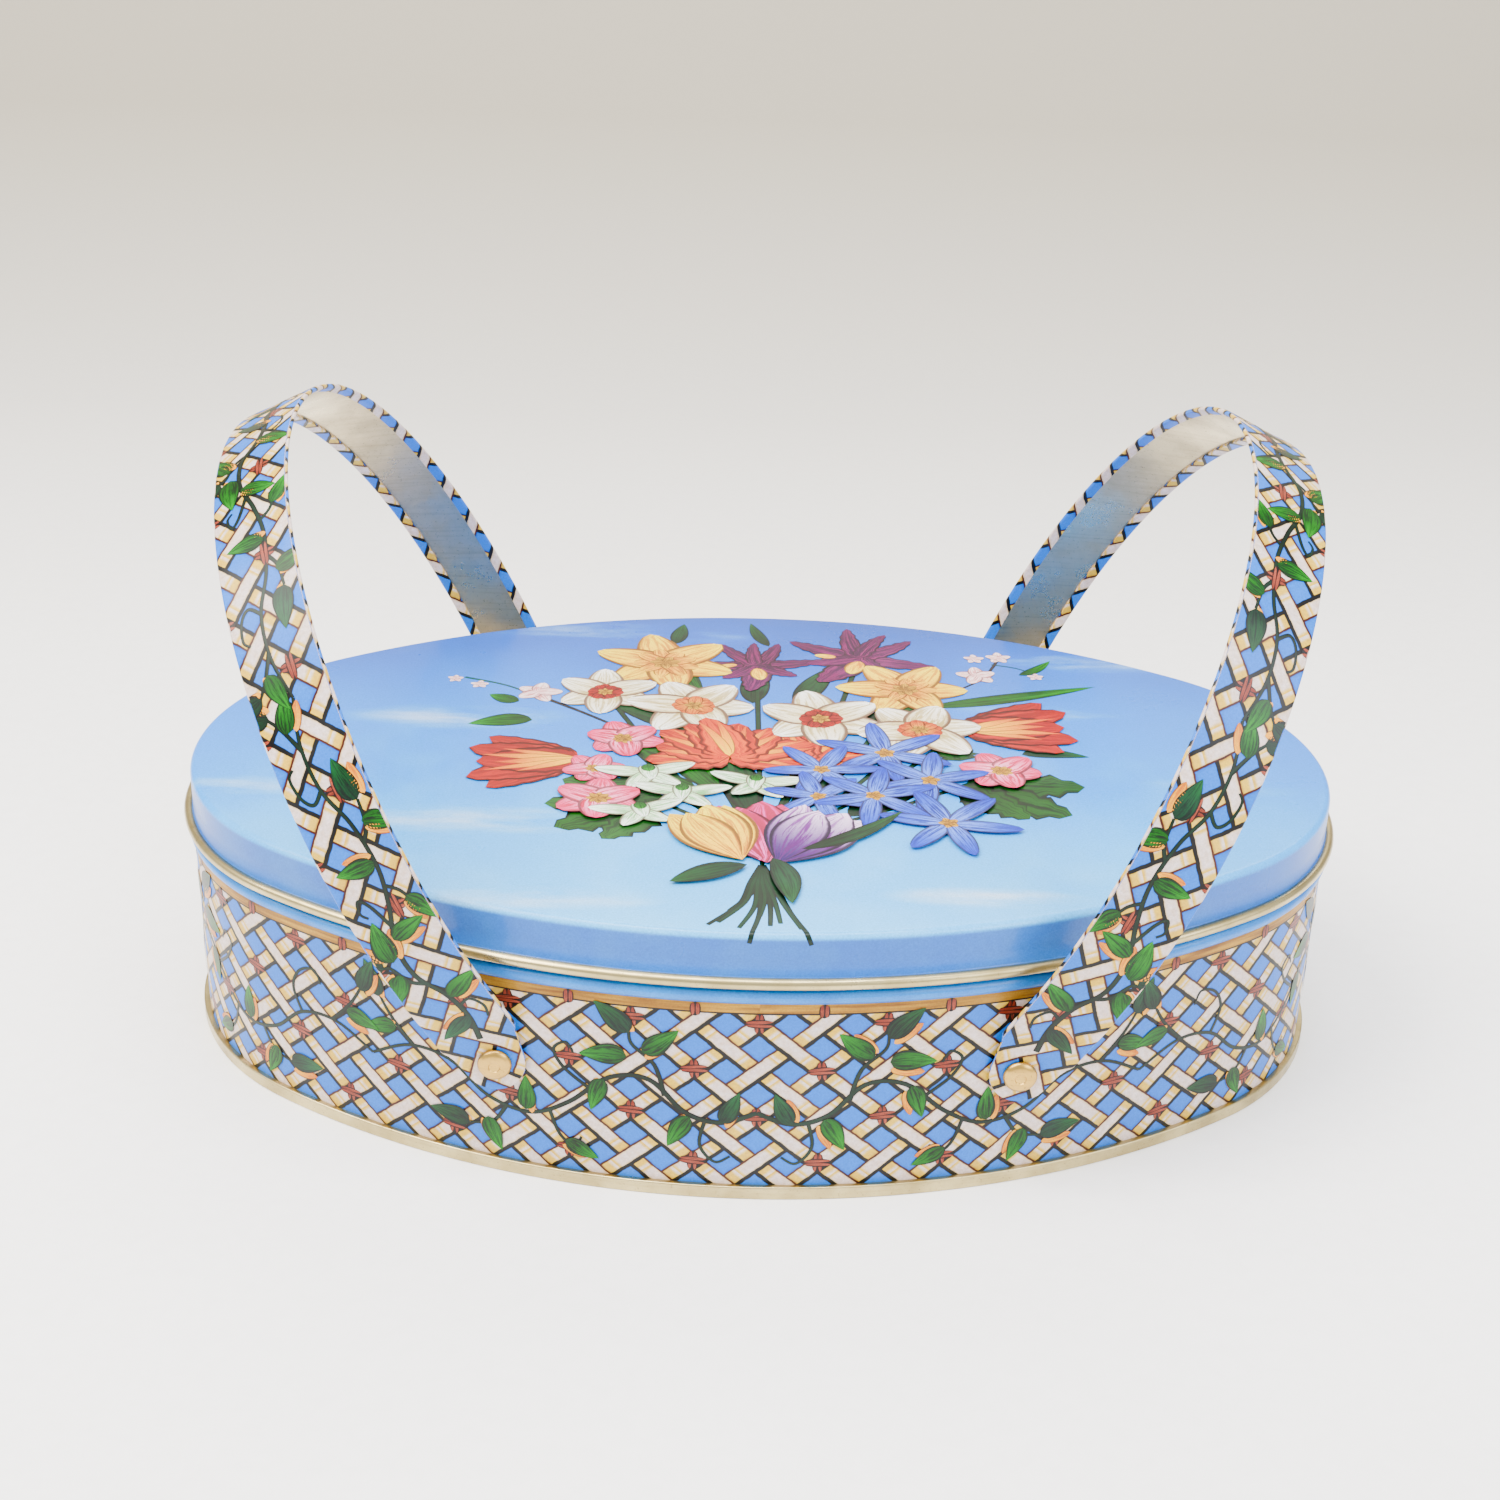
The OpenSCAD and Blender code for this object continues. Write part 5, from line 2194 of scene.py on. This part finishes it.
@dataclass(frozen=True)
class CameraView:
    """Where the camera stands and how it is turned, in metres and degrees."""

    place: Triple = (-0.0071, -0.4417, 0.2743)
    yaw: float = 0.588
    pitch: float = 25.751
    roll: float = 1.652
    lens: float = 53.135

    def build(self) -> None:
        """Creates the camera and makes it the scene's."""
        yaw, pitch, roll = (math.radians(a) for a in (self.yaw, self.pitch, self.roll))
        ahead = Vector((math.sin(yaw) * math.cos(pitch), math.cos(yaw) * math.cos(pitch), -math.sin(pitch)))
        right = Vector((math.cos(yaw), -math.sin(yaw), 0.0))
        up = right.cross(ahead)
        turned = right * math.cos(roll) + up * math.sin(roll)
        raised = up * math.cos(roll) - right * math.sin(roll)
        data = bpy.data.cameras.new("camera")
        data.lens = self.lens
        data.clip_start = 0.01
        camera = add_object("camera", data)
        matrix = Matrix((turned, raised, -ahead)).transposed().to_4x4()
        matrix.translation = Vector(self.place)
        camera.matrix_world = matrix
        bpy.context.scene.camera = camera


LAMP_TARGET = (0.0, 0.0, 0.05)
# Lamps: name, place, size, power and colour.
LAMPS = (("window", (-0.7, -0.3, 1.1), (0.9, 0.9), 44.0, "fff8ef"),
         ("fill", (0.9, -0.7, 0.8), (0.9, 0.7), 19.0, "f6f8ff"),
         ("back", (0.1, 0.75, 0.9), (1.2, 0.5), 12.0, "ffffff"),
         ("overhead", (0.0, -0.25, 1.2), (0.7, 0.25), 14.0, "ffffff"))


@dataclass(frozen=True)
class Studio:
    """Pale floor that curves up into a backdrop, painted darker towards the back as shade, with soft lights.
    """

    half_width: float = 1.6
    front: float = -1.4
    back: float = 0.9
    bend: float = 0.45
    height: float = 1.6

    def floor(self) -> None:
        """Builds the floor and backdrop as one curved sheet, painted darker and warmer towards the back."""
        material, sheet, shader = start_material("studio_paper")
        place = sheet.node("ShaderNodeTexCoord").outputs["Object"]
        _, y, _ = sheet.split(place)
        # Painted shade: near white at the front to warm grey at the back. This stands in for the light
        # falling off across the floor and up the backdrop, as well as the backdrop cloth's own grey.
        tone = sheet.mix(sheet.remap(y, 0.05, 0.7, 0.0, 1.0), srgb("fdfcfb"), srgb("9b9484"))
        fibre = sheet.noise(place, 240.0, 3.0)
        tone = sheet.mix(sheet.remap(fibre, 0.4, 0.7, 0.0, 0.05), tone, srgb("a59c92"))
        sheet.feed(shader.inputs["Base Color"], tone)
        shader.inputs["Roughness"].default_value = 0.75
        profile = [(self.front, 0.0), (self.back - self.bend, 0.0)]
        profile += arc((self.back - self.bend, self.bend), self.bend, -90, 0, 16)
        profile += [(self.back, self.height)]
        points = [(side * self.half_width, y, z) for y, z in profile for side in (-1, 1)]
        faces = [(2 * i, 2 * i + 1, 2 * i + 3, 2 * i + 2) for i in range(len(profile) - 1)]
        mesh = bpy.data.meshes.new("studio_floor")
        mesh.from_pydata(points, [], faces)
        mesh.materials.append(material)
        mesh.polygons.foreach_set("use_smooth", [True] * len(faces))
        add_object("studio_floor", mesh)

    def light(self, name: str, place: Triple, size: Pair, power: float,
              colour: Colour) -> None:
        """Adds one soft area light aimed at the tin.

        Args:
            name: Its name.
            place: Where it stands.
            size: Its two sides.
            power: Its power in watts.
            colour: Its colour.
        """
        data = bpy.data.lights.new(name, "AREA")
        data.shape = "RECTANGLE"
        data.size, data.size_y = size
        data.energy = power
        data.color = colour[:3]
        lamp = add_object(name, data)
        aim = Vector(LAMP_TARGET) - Vector(place)
        lamp.matrix_world = Matrix.Translation(place) @ aim.to_track_quat("-Z", "Y").to_matrix().to_4x4()

    def build(self) -> None:
        """Builds floor, lights and the pale surroundings."""
        self.floor()
        for name, place, size, power, code in LAMPS:
            self.light(name, place, size, power, srgb(code))
        world = bpy.data.worlds.new("studio_world")
        world.use_nodes = True
        shade = world.node_tree.nodes["Background"]
        shade.inputs["Color"].default_value = srgb("e9ebef")
        shade.inputs["Strength"].default_value = 1.35
        bpy.context.scene.world = world


# ---- the whole box


CLOUDS = ((-67.0, 15.0, 30.0, 8.0, 0.9), (-60.0, -35.0, 34.0, 7.0, 1.0), (-43.0, -67.0, 26.0, 5.0, 0.8),
          (44.0, -63.0, 22.0, 4.5, 0.9), (80.0, 54.0, 36.0, 8.0, 0.7), (70.0, 25.0, 30.0, 6.0, 0.6),
          (-35.0, 66.0, 40.0, 8.0, 0.7), (-110.0, -22.0, 16.0, 5.0, 0.8), (100.0, -12.0, 20.0, 5.0, 0.4))
CURL_REACH = 2.0 * MM
TIE_COUNT = 26
RISE = 10.9 * MM
TIE_BASE = 19.0 * MM
WALL_RAIL = (43.2 * MM, 45.3 * MM)
STRAP_SHIFT = 2.0 * MM
STRAP_HALF_PITCH = 12.4 * MM
VINE_LIFT = 0.12 * MM
STRAP_VINE_LIFT = 0.07 * MM
STRAP_LAYER = 0.0008 * MM


def main() -> None:
    """Builds every piece in order."""
    CameraView().build()
    Studio().build()
    _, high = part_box("lid")
    oval = Oval(high.x - CURL_REACH, high.y - CURL_REACH)
    half_pitch = oval.length / TIE_COUNT / 2
    bare = HandledMetal("bare_tinplate", srgb("c9b884"), srgb("8c7a48"), srgb("4e4028")).material()
    dull = HandledMetal("strap_tinplate", srgb("e0cfa4"), srgb("a08c60"), srgb("5a4a30"), 0.8).material()
    brass = HandledMetal("brass_rivets", srgb("cca450"), srgb("8c6a2c"), srgb("4c3818"), 0.6).material()
    inside = HandledMetal("gold_lacquer", srgb("c4b07a"), srgb("94803f"), srgb("665430"), 0.5, 0.5).material()
    wall_print = LatticePrint("wall_lattice", half_pitch, RISE, (0.0, -TIE_BASE), WALL_RAIL).material()
    strap_print = LatticePrint("strap_lattice", STRAP_HALF_PITCH, RISE, (0.0, STRAP_SHIFT)).material()
    bead = PlainLacquer("bead_blue", srgb("22b8f0"), srgb("18a0dc")).material()
    lacquer = PlainLacquer("pad_blue", srgb("4a92de"), srgb("3f83cf")).material()
    sky = SkyPrint("sky_print", high.y, high.z, CLOUDS).material()
    Tin(oval, wall_print, bead, inside, bare).build()
    Lid(oval, sky, bare, inside, high.z).build()
    hinges = {joint["child"]: Vector(joint["pos_m"]) for joint in frame["joints"] if joint["type"] == "hinge"}
    straps = [Strap(side, hinges[name], strap_print, dull)
              for side, name in ((-1, "handle_left"), (1, "handle_right"))]
    for strap in straps:
        strap.build()
    Rivets(brass, lacquer).build()
    ink = PrintedInk("printed_ink").material()
    petals, stems = make_petal_recipe(), make_stem_recipe()
    face = WallFace(oval)
    twine = FlatPrint("wall_twine", "tin", "printed_wall", face, columns=5, rows=9)
    draw_wall_twine(twine, 2 * half_pitch / MM, RISE / MM, TIE_BASE / MM)
    twine.build(petals, stems, ink)
    vines = FlatPrint("wall_vines", "tin", "printed_wall", face, lift=VINE_LIFT, columns=7, rows=15)
    draw_wall_vines(vines, oval.length / MM)
    vines.build(petals, stems, ink)
    for strap in straps:
        name = "strap_" + strap.name.split("_")[1]
        length = strap.length / MM
        outside = StrapFace(strap)
        twine = FlatPrint(name + "_twine", strap.name, "printed_strap", outside, strap.side > 0,
                          columns=5, rows=9)
        draw_strap_twine(twine, length, STRAP_SHIFT / MM)
        twine.layer_step = STRAP_LAYER
        twine.build(petals, stems, ink)
        vines = FlatPrint(name + "_vines", strap.name, "printed_strap", outside, strap.side > 0,
                          lift=STRAP_VINE_LIFT, columns=7, rows=15)
        vines.layer_step = STRAP_LAYER
        draw_strap_vines(vines, length)
        vines.build(petals, stems, ink)
    bouquet = FlatPrint("bouquet", "lid", "printed_lid", LidFace(oval, high.z), layers=1000)
    draw_bouquet(bouquet)
    bouquet.build(petals, stems, ink)
    for node in sorted(frame["nodes"]):
        if node.startswith("washer"):
            frame["nodes"][node].data.materials.clear()
            frame["nodes"][node].data.materials.append(bare)


if __name__ == "__main__":
    logging.basicConfig(level=logging.INFO, format="%(message)s")
    main()
